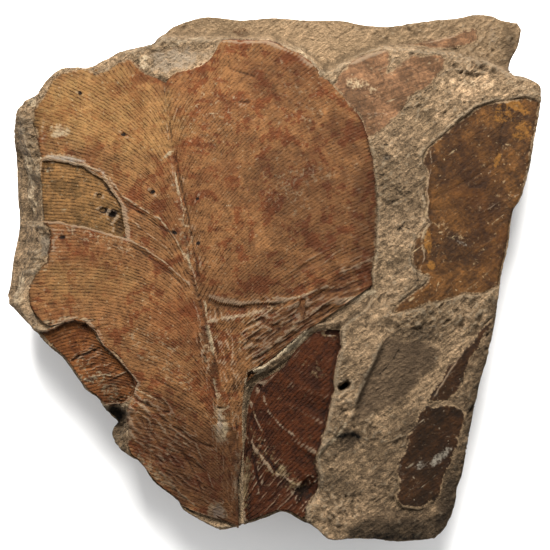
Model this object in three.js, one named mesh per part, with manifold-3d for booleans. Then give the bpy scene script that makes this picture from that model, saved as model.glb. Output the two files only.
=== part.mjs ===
// Fossil leaves in matrix: one loose block of split rock that lies on its flat underside, with
// thin films of several leaves set in its upper face. Millimetres, +Z up, +Y towards the back
// ledge. The origin is under the middle of the block, on the surface that it rests on.

import * as THREE from 'three';
import { mergeVertices } from 'three/addons/utils/BufferGeometryUtils.js';
import Module from 'manifold-3d';

// Driving dimensions
const shoulderHeight = 33;      // upper face beside the main leaf
const crestRise = 3.2;          // how far the main leaf's dome stands above the shoulder
const ledgeDrop = 6;            // from the main leaf's back edge down to the back ledge
const filmThickness = 0.9;      // a leaf film with the skin of rock that carries it
const filmGap = 0.3;            // parting between a film and the rock under it
const filmProud = 0.25;         // how far a film stands above the rock around it
const pocketMargin = 0.35;      // how far a film's pocket reaches past the film
const outlineGrowth = 1.018;    // the walls bulge this much past the outline below the rim
const blockSegments = 84;       // steps around the block
const aboveBlock = 60;          // a height clear of the whole block

// The upper face: where its crest lies, how far it falls to the sides, and the trough and the
// swell beside the main leaf's right margin
const crestX = -17;
const crestY = 20;
const crestHalfWidth = 50;
const crestHalfLength = 58;
const rightFallDepth = 4.5;
const frontFallDepth = 5;
const leftFallDepth = 2.5;
const troughX = 29;
const troughLean = 0.03;        // the trough leans this much to the right for each step back
const troughHalfWidth = 5;
const troughDepth = 1.2;
const swellX = 38;
const swellY = 6;
const swellHalfWidth = 9;
const swellHalfLength = 34;
const swellRise = 1.1;

// The walls, as parts of the way from the middle of the block to its outline
const rimPart = 0.985;          // the rim of the upper face
const leftRimInset = 0.1;       // how much further in the rim lies where the left wall leans out
const footPart = 0.93;          // the edge of the underside
const frontUndercut = 0.1;      // how much further in the underside starts at the front
const widestBelowRim = 4;       // the widest level, below the rim
const leftWidestHeight = 20;    // the widest level where the left wall leans out
const meanReach = 75;           // from the middle of the block to its walls
const waveRelief = 0.45;        // the broken walls' slow unevenness
const bedRelief = 0.5;          // the beds that stand out in the walls

// The block's outline seen from above, clockwise from its left corner.
const blockOutline = [
  [-74.2, 39.1], [-71.1, 49.4], [-65.8, 54.2], [-60.5, 58.4], [-52.9, 58.7], [-44.5, 62.0],
  [-35.3, 64.3], [-29.4, 70.4], [-20.2, 73.5], [-8.1, 72.9], [6.7, 72.7], [18.2, 72.4],
  [29.1, 71.0], [42.8, 72.4], [54.9, 73.8], [65.0, 72.1], [69.4, 70.1], [68.3, 64.5],
  [67.0, 59.4], [70.3, 56.4], [74.8, 53.6], [74.8, 47.2], [72.2, 32.6], [68.9, 21.4],
  [65.5, 9.4], [62.7, -4.1], [59.9, -19.5], [56.3, -33.7], [52.4, -51.9], [49.8, -62.0],
  [46.8, -70.4], [42.0, -73.8], [28.3, -73.8], [14.6, -73.5], [7.0, -68.2], [1.1, -65.9],
  [-6.7, -68.7], [-15.7, -70.7], [-25.5, -65.7], [-33.9, -57.8], [-40.9, -50.5], [-45.9, -44.4],
  [-44.5, -41.0], [-49.8, -34.6], [-56.0, -27.9], [-61.3, -21.4], [-70.0, -12.2], [-75.0, -5.7],
  [-73.9, 4.3], [-72.2, 14.1], [-73.4, 29.5],
];

// Where the upper face breaks down to the back ledge, from left to right.
const ledgeLine = [
  [-80, 63], [-41, 63.6], [-32, 67], [-2, 66.6], [7, 63], [14, 57.5], [20, 60], [31, 64.5],
  [47, 63], [60, 60], [67, 56.5], [80, 54],
];

// The leaf films, each outline clockwise seen from above. rise lifts a film above the block's
// general face, or sinks it below.
const films = [
  {
    name: 'under_leaf', rise: -1.4, segments: 22, colour: 0x6e5a3f, roughness: 0.8,
    outline: [
      [-65.8, 32.3], [-58.8, 31.8], [-51.5, 28.7], [-47.9, 26.2], [-43.1, 19.7], [-42.6, 11.1],
      [-49.3, 12.5], [-57.4, 14.4], [-65.0, 15.3], [-66.1, 23.9],
    ],
  },
  {
    name: 'lower_left_leaf', rise: -2.2, segments: 24, colour: 0x7d5534, roughness: 0.8,
    outline: [
      [-61.0, -16.9], [-56.3, -14.7], [-51.5, -16.9], [-48.3, -20.9], [-44.2, -26.5],
      [-39.8, -30.8], [-41.2, -36.3], [-43.1, -39.0], [-47.9, -34.0], [-53.8, -28.4],
      [-57.7, -23.2],
    ],
  },
  {
    name: 'lower_leaf', rise: -2.2, segments: 34, colour: 0x6b3f28, roughness: 0.75,
    outline: [
      [9.2, -15.5], [16.2, -16.4], [17.4, -20.3], [16.0, -28.4], [13.7, -42.1], [11.2, -50.5],
      [11.5, -58.4], [8.6, -63.3], [6.8, -66.0], [1.6, -63.9], [-3.9, -65.3], [-8.2, -66.6],
      [-8.1, -57.3], [-8.7, -46.1], [-9.2, -34.9], [-7.3, -28.1], [-1.1, -25.3], [4.5, -20.9],
    ],
  },
  {
    name: 'main_leaf', rise: 0, segments: 72, colour: 0x9a6a40, roughness: 0.7,
    outline: [
      [-14.3, 66.2], [-7.3, 66.6], [0.6, 65.8], [6.7, 62.8], [11.5, 58.1], [16.2, 52.8],
      [21.0, 47.5], [24.4, 41.9], [26.6, 34.6], [27.7, 26.7], [28.3, 16.9], [28.0, 7.1],
      [26.9, -2.7], [24.1, -10.2], [17.9, -15.3], [9.2, -14.1], [4.2, -19.2], [-3.6, -25.1],
      [-8.4, -27.0], [-10.6, -34.9], [-10.1, -46.1], [-9.5, -57.3], [-9.8, -66.9],
      [-15.1, -68.6], [-22.4, -65.1], [-29.1, -58.7], [-35.8, -51.9], [-40.1, -46.1],
      [-40.3, -37.7], [-38.4, -29.3], [-43.1, -24.5], [-48.7, -19.2], [-51.0, -15.0],
      [-56.6, -12.5], [-61.9, -14.7], [-66.4, -13.0], [-68.1, -6.9], [-67.0, -0.7],
      [-63.8, 3.8], [-63.3, 13.3], [-65.0, 23.9], [-66.0, 32.3], [-67.0, 43.0], [-64.0, 51.4],
      [-59.5, 56.3], [-50.4, 56.5], [-41.4, 60.2], [-36.1, 56.4], [-28.0, 57.3], [-18.8, 60.9],
    ],
  },
  {
    name: 'upper_leaf', rise: -0.4, segments: 28, colour: 0x7f5f48, roughness: 0.8,
    outline: [
      [16.5, 53.6], [18.5, 57.8], [23.0, 62.0], [29.7, 64.0], [34.2, 60.9], [40.9, 62.3],
      [46.8, 62.0], [47.0, 58.7], [42.6, 53.1], [37.0, 49.7], [32.5, 43.8], [26.9, 40.2],
      [24.1, 44.1], [20.7, 48.6],
    ],
  },
  {
    name: 'right_leaf', rise: -0.5, segments: 32, colour: 0x5d4532, roughness: 0.8,
    outline: [
      [72.3, 41.9], [70.2, 32.3], [66.9, 19.7], [63.6, 8.5], [60.6, -3.9], [52.4, -5.6],
      [43.1, -7.1], [38.5, -5.6], [41.4, 2.1], [40.9, 8.5], [42.3, 18.3], [43.4, 27.3],
      [44.5, 37.4], [51.8, 43.8], [59.4, 48.2], [66.1, 49.0], [72.9, 48.4],
    ],
  },
  {
    name: 'strip_leaf', rise: -0.3, segments: 20, colour: 0x594736, roughness: 0.8,
    outline: [
      [56.6, -18.9], [53.2, -25.2], [51.9, -31.0], [48.5, -35.0], [43.0, -34.4], [46.2, -28.6],
      [50.4, -23.2], [55.2, -17.3], [59.5, -12.9],
    ],
  },
  {
    name: 'corner_leaf', rise: -0.3, segments: 24, colour: 0x5a4534, roughness: 0.8,
    outline: [
      [42.0, -36.4], [48.0, -36.8], [52.0, -39.0], [50.2, -44.9], [48.6, -51.2], [45.8, -57.8],
      [42.4, -63.4], [37.6, -64.4], [33.6, -60.9], [34.6, -55.2], [35.0, -50.4], [37.0, -44.4],
      [38.6, -40.4],
    ],
  },
  {
    name: 'ledge_leaf', rise: 0, segments: 18, colour: 0x6a5240, roughness: 0.85,
    outline: [
      [35.0, 67.3], [43.4, 68.5], [53.2, 70.4], [57.1, 71.0], [57.4, 67.6], [50.4, 65.7],
      [44.2, 65.4], [38.9, 66.2],
    ],
  },
];

// A smooth step from 0 to 1 as value goes from start to end.
function ramp(value, start, end) {
  return THREE.MathUtils.smoothstep(value, start, end);
}

function bell(distance, width) {
  return Math.exp(-((distance / width) ** 2));
}

// The height at x of a line that is given by its corners.
function lineAt(corners, x) {
  const next = corners.findIndex((corner) => corner[0] >= x);
  const [x0, y0] = corners[Math.max(next - 1, 0)];
  const [x1, y1] = corners[next];
  return y0 + ((y1 - y0) * (x - x0)) / (x1 - x0 || 1);
}

// The height of the block's general upper face: a low dome under the main leaf, a fall to every
// side, the step down to the back ledge, and the trough along the main leaf's right margin.
function upperFace(x, y) {
  const crest = crestRise * bell(x - crestX, crestHalfWidth) * bell(y - crestY, crestHalfLength);
  const rightFall = rightFallDepth * ramp(x, 30, 76);
  const frontFall = frontFallDepth * ramp(-y, 8, 76);
  const leftFall = leftFallDepth * ramp(-x, 52, 72);
  const ledge = ledgeDrop * ramp(y - lineAt(ledgeLine, x), -0.5, 4);
  const troughOff = x - troughX - troughLean * y;
  const troughEnds = ramp(y, -22, -4) * ramp(-y, -56, -44);
  const trough = troughDepth * bell(troughOff, troughHalfWidth) * troughEnds;
  const swell = swellRise * bell(x - swellX, swellHalfWidth) * bell(y - swellY, swellHalfLength);
  return shoulderHeight + crest - rightFall - frontFall - leftFall - ledge - trough + swell;
}

// A slow unevenness for the broken walls.
function broken(x, y, z) {
  const along = Math.sin(x * 0.31 + z * 0.22) + Math.sin(y * 0.27 - z * 0.35 + 1.7);
  const beds = Math.sin(z * 0.55 + x * 0.05 - y * 0.04);
  return waveRelief * along + bedRelief * beds;
}

// Evenly spaced points on a closed smooth line through the given ones.
function outlinePoints(outline, count) {
  const points = outline.map(([x, y]) => new THREE.Vector3(x, y, 0));
  const line = new THREE.CatmullRomCurve3(points, true, 'centripetal');
  return line.getSpacedPoints(count).slice(0, count);
}

// A closed solid of rings around an axis, turned as a lathe does and then carried out to an
// outline. rows lists the rings from the top of the axis to its foot, and place(point, row)
// gives a ring's point for a point of the outline.
function ringedSolid(points, rows, place) {
  const profile = rows.map((row, index) => {
    const onAxis = index === 0 || index === rows.length - 1;
    return new THREE.Vector2(onAxis ? 0 : 1, -index);
  });
  const geometry = new THREE.LatheGeometry(profile, points.length);
  const position = geometry.getAttribute('position');
  for (let index = 0; index < position.count; index += 1) {
    const turn = Math.floor(index / rows.length) % points.length;
    const spot = place(points[turn], rows[index % rows.length]);
    position.setXYZ(index, spot.x, spot.y, spot.z);
  }
  geometry.deleteAttribute('normal');
  geometry.deleteAttribute('uv');
  return mergeVertices(geometry, 1e-4);
}

const wasm = await Module();
wasm.setup();

function toManifold(geometry) {
  return new wasm.Manifold(new wasm.Mesh({
    numProp: 3,
    vertProperties: geometry.getAttribute('position').array,
    triVerts: new Uint32Array(geometry.index.array),
  }));
}

function toGeometry(manifold) {
  const mesh = manifold.getMesh();
  const geometry = new THREE.BufferGeometry();
  geometry.setAttribute('position', new THREE.BufferAttribute(mesh.vertProperties, 3));
  geometry.setIndex(new THREE.BufferAttribute(mesh.triVerts, 1));
  geometry.computeVertexNormals();
  return geometry;
}

// The block: its upper face, a narrow broken rim, walls that flare at the left and are undercut
// at the front, and the flat bedding plane that it lies on.
const faceReaches = [0.3, 0.55, 0.7, 0.8, 0.87, 0.92, 0.96];

function rimReach(point) {
  const atLeft = ramp(-point.x, 46, 66) * ramp(-point.y, -52, -30) * ramp(point.y, -14, 2);
  return rimPart - leftRimInset * atLeft;
}

function footReach(point) {
  return footPart - frontUndercut * ramp(-point.y - 0.5 * point.x, 15, 60);
}

function blockSpot(point, row) {
  const rim = rimReach(point);
  if (row.kind === 'face') {
    const x = point.x * row.reach * rim;
    const y = point.y * row.reach * rim;
    return new THREE.Vector3(x, y, upperFace(x, y));
  }
  const rimHeight = upperFace(point.x * rim, point.y * rim);
  const foot = footReach(point);
  if (row.kind === 'wall') {
    const leaning = ramp(1 - rim, 0.03, 0.1);
    const widest = THREE.MathUtils.lerp(rimHeight - widestBelowRim, leftWidestHeight, leaning);
    const height = row.down <= 1
      ? THREE.MathUtils.lerp(rimHeight, widest, row.down)
      : THREE.MathUtils.lerp(widest, 0, row.down - 1);
    const reach = row.down <= 1
      ? THREE.MathUtils.lerp(rim, 1, Math.sin(row.down * Math.PI / 2))
      : THREE.MathUtils.lerp(1, foot, (row.down - 1) ** 1.5);
    const inward = 1 - row.rough * (1 + broken(point.x, point.y, height)) / meanReach;
    return new THREE.Vector3(point.x * reach * inward, point.y * reach * inward, height);
  }
  return new THREE.Vector3(point.x * foot * row.reach, point.y * foot * row.reach, 0);
}

const blockRows = [
  { kind: 'face', reach: 0 },
  ...faceReaches.map((reach) => ({ kind: 'face', reach })),
  { kind: 'face', reach: 1 },
  { kind: 'wall', down: 0.5, rough: 0 },
  { kind: 'wall', down: 1, rough: 0 },
  { kind: 'wall', down: 1.35, rough: 1 },
  { kind: 'wall', down: 1.7, rough: 1 },
  { kind: 'wall', down: 2, rough: 0 },
  { kind: 'under', reach: 0.5 },
  { kind: 'under', reach: 0 },
];

// A film: a thin sheet that follows the upper face, closed around its edge.
const filmReaches = [0, 0.5, 0.8, 1];
const mainLeafReaches = [0, 0.3, 0.55, 0.75, 0.9, 1];

function filmSolid(film, margin, topHeight) {
  const reaches = film.name === 'main_leaf' ? mainLeafReaches : filmReaches;
  const points = outlinePoints(film.outline, film.segments);
  const centre = new THREE.Vector3();
  points.forEach((point) => centre.addScaledVector(point, 1 / points.length));
  const grown = points.map((point, index) => {
    const before = points[(index + points.length - 1) % points.length];
    const after = points[(index + 1) % points.length];
    const outward = new THREE.Vector3(before.y - after.y, after.x - before.x, 0).normalize();
    return point.clone().addScaledVector(outward, margin);
  });
  const rows = [
    ...reaches.map((reach) => ({ reach, top: true })),
    ...[...reaches].reverse().map((reach) => ({ reach, top: false })),
  ];
  const under = filmThickness + (margin > 0 ? filmGap : 0);
  return toManifold(ringedSolid(grown, rows, (point, row) => {
    const x = THREE.MathUtils.lerp(centre.x, point.x, row.reach);
    const y = THREE.MathUtils.lerp(centre.y, point.y, row.reach);
    const face = upperFace(x, y) + film.rise + filmProud;
    return new THREE.Vector3(x, y, row.top ? (topHeight ?? face) : face - under);
  }));
}

function largestPiece(manifold) {
  const pieces = manifold.decompose();
  return pieces.reduce((best, piece) => (piece.volume() > best.volume() ? piece : best));
}

// Each film has a pocket a little wider and deeper than itself. The pocket is cut from the block
// and from every film that is listed after it.
const pockets = [];
const fossil = new THREE.Group();

function addMesh(name, manifold, colour, roughness) {
  const material = new THREE.MeshStandardMaterial({ color: colour, roughness, metalness: 0 });
  const mesh = new THREE.Mesh(toGeometry(manifold), material);
  mesh.name = name;
  fossil.add(mesh);
}

for (const film of films) {
  let solid = filmSolid(film, 0);
  for (const pocket of pockets) solid = solid.subtract(pocket);
  addMesh(film.name, largestPiece(solid), film.colour, film.roughness);
  pockets.push(filmSolid(film, pocketMargin, aboveBlock));
}

const widestLine = outlinePoints(blockOutline, blockSegments);
widestLine.forEach((point) => point.multiplyScalar(outlineGrowth));
let block = toManifold(ringedSolid(widestLine, blockRows, blockSpot));
for (const pocket of pockets) block = block.subtract(pocket);
addMesh('matrix', largestPiece(block), 0x9c8566, 0.9);

// The origin goes under the middle of the whole block.
const middle = new THREE.Box3().setFromObject(fossil).getCenter(new THREE.Vector3());
fossil.position.set(-middle.x, -middle.y, 0);

export default fossil;
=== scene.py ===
import math

import bmesh
import bpy
import numpy as np
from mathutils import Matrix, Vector
from mathutils.geometry import delaunay_2d_cdt


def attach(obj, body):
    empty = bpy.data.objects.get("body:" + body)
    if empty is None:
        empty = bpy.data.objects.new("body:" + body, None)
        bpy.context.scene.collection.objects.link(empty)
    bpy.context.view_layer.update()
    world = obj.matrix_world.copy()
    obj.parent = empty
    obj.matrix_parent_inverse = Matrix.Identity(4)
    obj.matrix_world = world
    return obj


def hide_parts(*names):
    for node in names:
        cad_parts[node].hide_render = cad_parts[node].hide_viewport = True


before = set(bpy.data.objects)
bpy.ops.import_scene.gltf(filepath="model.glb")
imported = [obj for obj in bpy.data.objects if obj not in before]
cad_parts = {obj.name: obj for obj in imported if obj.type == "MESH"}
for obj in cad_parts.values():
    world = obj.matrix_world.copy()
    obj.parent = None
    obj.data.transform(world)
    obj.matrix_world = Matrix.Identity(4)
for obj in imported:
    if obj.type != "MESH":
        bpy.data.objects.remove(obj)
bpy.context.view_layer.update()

# The camera looks down on the loose block, a little from its front, as in the photograph. The
# block lies on a plain pale floor under a wide soft light from behind and to the left, with an
# even light from all around to open the shadows.
camera_distance = 0.4278   # metres
camera_elevation = math.radians(86)
camera_target = Vector((-0.0003, 0.0004, 0.034))


def aim(thing, place, target):
    thing.location = place
    thing.rotation_euler = (target - place).to_track_quat("-Z", "Y").to_euler()
    bpy.context.scene.collection.objects.link(thing)


camera_data = bpy.data.cameras.new("camera")
camera_data.lens = 100
camera_data.sensor_width = 36
camera = bpy.data.objects.new("camera", camera_data)
camera_side = Vector((0, -math.cos(camera_elevation), math.sin(camera_elevation)))
aim(camera, camera_target + camera_distance * camera_side, camera_target)
bpy.context.scene.camera = camera

key_data = bpy.data.lights.new("key_light", "AREA")
key_data.size = 0.30
key_data.energy = 16.5
key_data.color = (1.0, 0.985, 0.96)
key_light = bpy.data.objects.new("key_light", key_data)
aim(key_light, Vector((-0.04, 0.39, 0.48)), camera_target)

bpy.context.scene.world = bpy.data.worlds.new("studio")
bpy.context.scene.world.use_nodes = True
studio_light = bpy.context.scene.world.node_tree.nodes["Background"]
studio_light.inputs["Color"].default_value = (1.0, 1.0, 1.0, 1.0)
studio_light.inputs["Strength"].default_value = 0.75
bpy.context.scene.view_settings.view_transform = "Standard"

floor_reach = 3
floor_corners = [(x * floor_reach, y * floor_reach, 0) for x, y in ((-1, -1), (1, -1), (1, 1), (-1, 1))]
floor_mesh = bpy.data.meshes.new("floor")
floor_mesh.from_pydata(floor_corners, [], [(0, 1, 2, 3)])
floor = bpy.data.objects.new("floor", floor_mesh)
bpy.context.scene.collection.objects.link(floor)
floor_paint = bpy.data.materials.new("pale_floor")
floor_paint.use_nodes = True
floor_shader = floor_paint.node_tree.nodes["Principled BSDF"]
floor_shader.inputs["Base Color"].default_value = (0.93, 0.93, 0.93, 1)
floor_shader.inputs["Roughness"].default_value = 0.9
floor_mesh.materials.append(floor_paint)

# The split face that all the leaves lie on: a low dome that falls away to every side, with the
# folds, steps, pits and cracks that the leaves and the rock share. Places are read off the
# photograph as pixels and turned into millimetres on the face, and heights are millimetres.
photo_pixel = 0.28
photo_middle = (276.0, 276.4)
shoulder_height = 33.0
crest_rise = 3.2
crest_place = (-17, 20)
crest_half_width = 50
crest_half_length = 58
right_fall = 4.5
front_fall = 5.0
left_fall = 2.5
ledge_drop = 6.0
tiny = 1e-9            # keeps a length from being nothing where it divides
table_size = 32        # cells along each side of a noise's table


def smooth(value, start, end):
    part = np.clip((value - start) / (end - start), 0, 1)
    return part * part * (3 - 2 * part)


def bell(distance, width):
    return np.exp(-((distance / width) ** 2))


def dome(x, y):
    """Height of the bare face, with none of its folds, steps and pits."""
    crest_x, crest_y = crest_place
    crest = crest_rise * bell(x - crest_x, crest_half_width) * bell(y - crest_y, crest_half_length)
    falls = ((x, 30, 76, right_fall), (-y, 8, 76, front_fall), (-x, 52, 72, left_fall))
    height = shoulder_height + crest
    for place, start, end, fall in falls:
        height = height - fall * smooth(place, start, end)
    return height


def seen(places, below):
    """The same places in the view when they lie further below the height the camera aims at."""
    return places * (1 + below / (1000 * camera_distance))[:, None] + np.array([0, 0.07]) * below[:, None]


def spots(*pixels):
    """Places on the face, in millimetres, from pixels of the photograph."""
    places = (np.array(pixels, float) - photo_middle) * (photo_pixel, -photo_pixel)
    return seen(places, 1000 * camera_target.z - dome(*places.T))


def bridge(t, start, end, leave, arrive):
    """The smooth way from start to end, with the direction in which it leaves and arrives."""
    return (
        start * (2 * t**3 - 3 * t**2 + 1) + leave * (t**3 - 2 * t**2 + t)
        + end * (3 * t**2 - 2 * t**3) + arrive * (t**3 - t**2)
    )


def eased(points, step, closed=False):
    """Points about step apart on a smooth line through the given ones."""
    count = len(points)
    line = []
    for span in range(count if closed else count - 1):
        near = np.arange(span - 1, span + 3)
        before, start, end, after = points[near % count if closed else np.clip(near, 0, count - 1)]
        ways = (start - before, end - start, after - end)
        back, length, ahead = (np.hypot(*way) + tiny for way in ways)
        tight = np.clip(length / np.array([back, ahead]), 0.2, 1)
        t = np.linspace(0, 1, max(int(length / step), 1), endpoint=False)[:, None]
        line.append(bridge(t, start, end, (end - before) / 2 * tight[0], (after - start) / 2 * tight[1]))
    if not closed:
        line.append(points[-1:])
    return np.concatenate(line)


def beside(x, y, line, reach):
    """Distance to a line, positive on its left, and the part of the line passed, near the line only."""
    distance = np.full(x.shape, 2.0 * reach)
    passed = np.zeros(x.shape)
    low, high = line.min(0) - reach, line.max(0) + reach
    near = (x > low[0]) & (x < high[0]) & (y > low[1]) & (y < high[1])
    if not near.any():
        return distance, passed
    px, py = x[near], y[near]
    best = np.full(px.shape, 2.0 * reach)
    best_passed = np.zeros(px.shape)
    steps = np.diff(line, axis=0)
    lengths = np.hypot(steps[:, 0], steps[:, 1]) + tiny
    starts = np.concatenate([[0], np.cumsum(lengths)])
    for (ax, ay), (dx, dy), length, start in zip(line, steps, lengths, starts):
        t = np.clip(((px - ax) * dx + (py - ay) * dy) / length**2, 0, 1)
        off = np.hypot(px - ax - t * dx, py - ay - t * dy)
        side = np.where(dx * (py - ay) - dy * (px - ax) >= 0, 1.0, -1.0)
        closer = off < np.abs(best)
        best[closer] = (side * off)[closer]
        best_passed[closer] = ((start + t * length) / starts[-1])[closer]
    distance[near] = best
    passed[near] = best_passed
    return distance, passed


def inside(x, y, outline, reach=6.0):
    """Distance in from a closed outline: positive inside, negative outside."""
    loop = np.concatenate([outline, outline[:1]])
    distance = np.abs(beside(x, y, loop, reach)[0])
    within = np.zeros(x.shape, bool)
    for (ax, ay), (bx, by) in zip(loop[:-1], loop[1:]):
        if ay != by:
            crosses = (ay > y) != (by > y)
            within ^= crosses & (x < ax + (bx - ax) * (y - ay) / (by - ay))
    return np.where(within, distance, -distance)


def rough(x, y, size, seed, octaves=4, z=0.0):
    """Unevenness between about -1 and 1, whose largest lumps are about size across."""
    x, y, z = np.broadcast_arrays(x, y, z)
    total = np.zeros(x.shape)
    strength = 0.55
    for octave in range(octaves):
        table = np.random.default_rng(seed + octave).uniform(-1, 1, 3 * (table_size,))
        turned = ((x * 0.8 - y * 0.6) / size + 7.3, (x * 0.6 + y * 0.8) / size + 3.1, z / size + 5.7)
        x, y = turned[0] * size, turned[1] * size
        cells = [np.floor(value).astype(int) for value in turned]
        parts = [smooth(value - cell, 0, 1) for value, cell in zip(turned, cells)]
        for corner in range(8):
            take = [(corner >> axis) & 1 for axis in range(3)]
            weight = strength
            for part, far in zip(parts, take):
                weight = weight * (part if far else 1 - part)
            total += weight * table[tuple((cell + far) % table_size for cell, far in zip(cells, take))]
        strength *= 0.5
        size *= 0.47
    return total


# Where the face breaks down to the back ledge, from left to right.
ledge_edge = spots(
    (-10, 52), (130, 49), (162, 37), (269, 38), (301, 51), (326, 71), (347, 62), (387, 46), (444, 51),
    (490, 62), (515, 75), (562, 84),
)
midrib_line = spots(
    (164, 76), (166, 100), (169, 125), (172, 150), (176, 175), (181, 205), (185, 235), (190, 265),
    (196, 290), (204, 315), (210, 340), (214, 365), (220, 390), (228, 415), (233, 440), (236, 465),
    (238, 490), (240, 522),
)
patch_outline = spots(
    (41, 160), (53, 160), (66, 162), (82, 166), (92, 173), (102, 178), (111, 190), (121, 205), (123, 222),
    (126, 238), (112, 234), (100, 231), (87, 227), (71, 224), (57, 221), (41, 221), (38, 190),
)
chip_edge = (
    (133, 61), (140, 68), (147, 73), (164, 75), (176, 70), (191, 67), (201, 63), (209, 57), (215, 49),
)
chip_outline = spots(
    (129, 54), *chip_edge, (218, 41), (223, 36), (210, 32), (190, 35), (170, 42), (150, 47),
)
band_edge = (
    (350, 318), (330, 323), (309, 326), (300, 335), (289, 345), (277, 357), (262, 367), (247, 371),
    (243, 385), (241, 410), (242, 440), (243, 470), (242, 500),
)
broken_band = spots(*band_edge, (243, 524))
lower_region = np.concatenate([broken_band, spots(
    (262, 520), (276, 514), (306, 524), (306, 506), (312, 498), (318, 486), (319, 474), (317, 468),
    (317, 456), (322, 439), (326, 426), (330, 405), (334, 390), (334, 377), (336, 362), (341, 347),
    (340, 331),
)])
lip_edge = (
    (138, 382), (130, 373), (123, 364), (113, 353), (103, 344), (96, 331), (86, 322), (75, 320),
    (65, 322), (55, 328), (46, 331),
)
layer_edge = spots((20, 320), (36, 330), *lip_edge[::-1], (134, 395), (124, 402), (106, 404), (84, 396))

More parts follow.
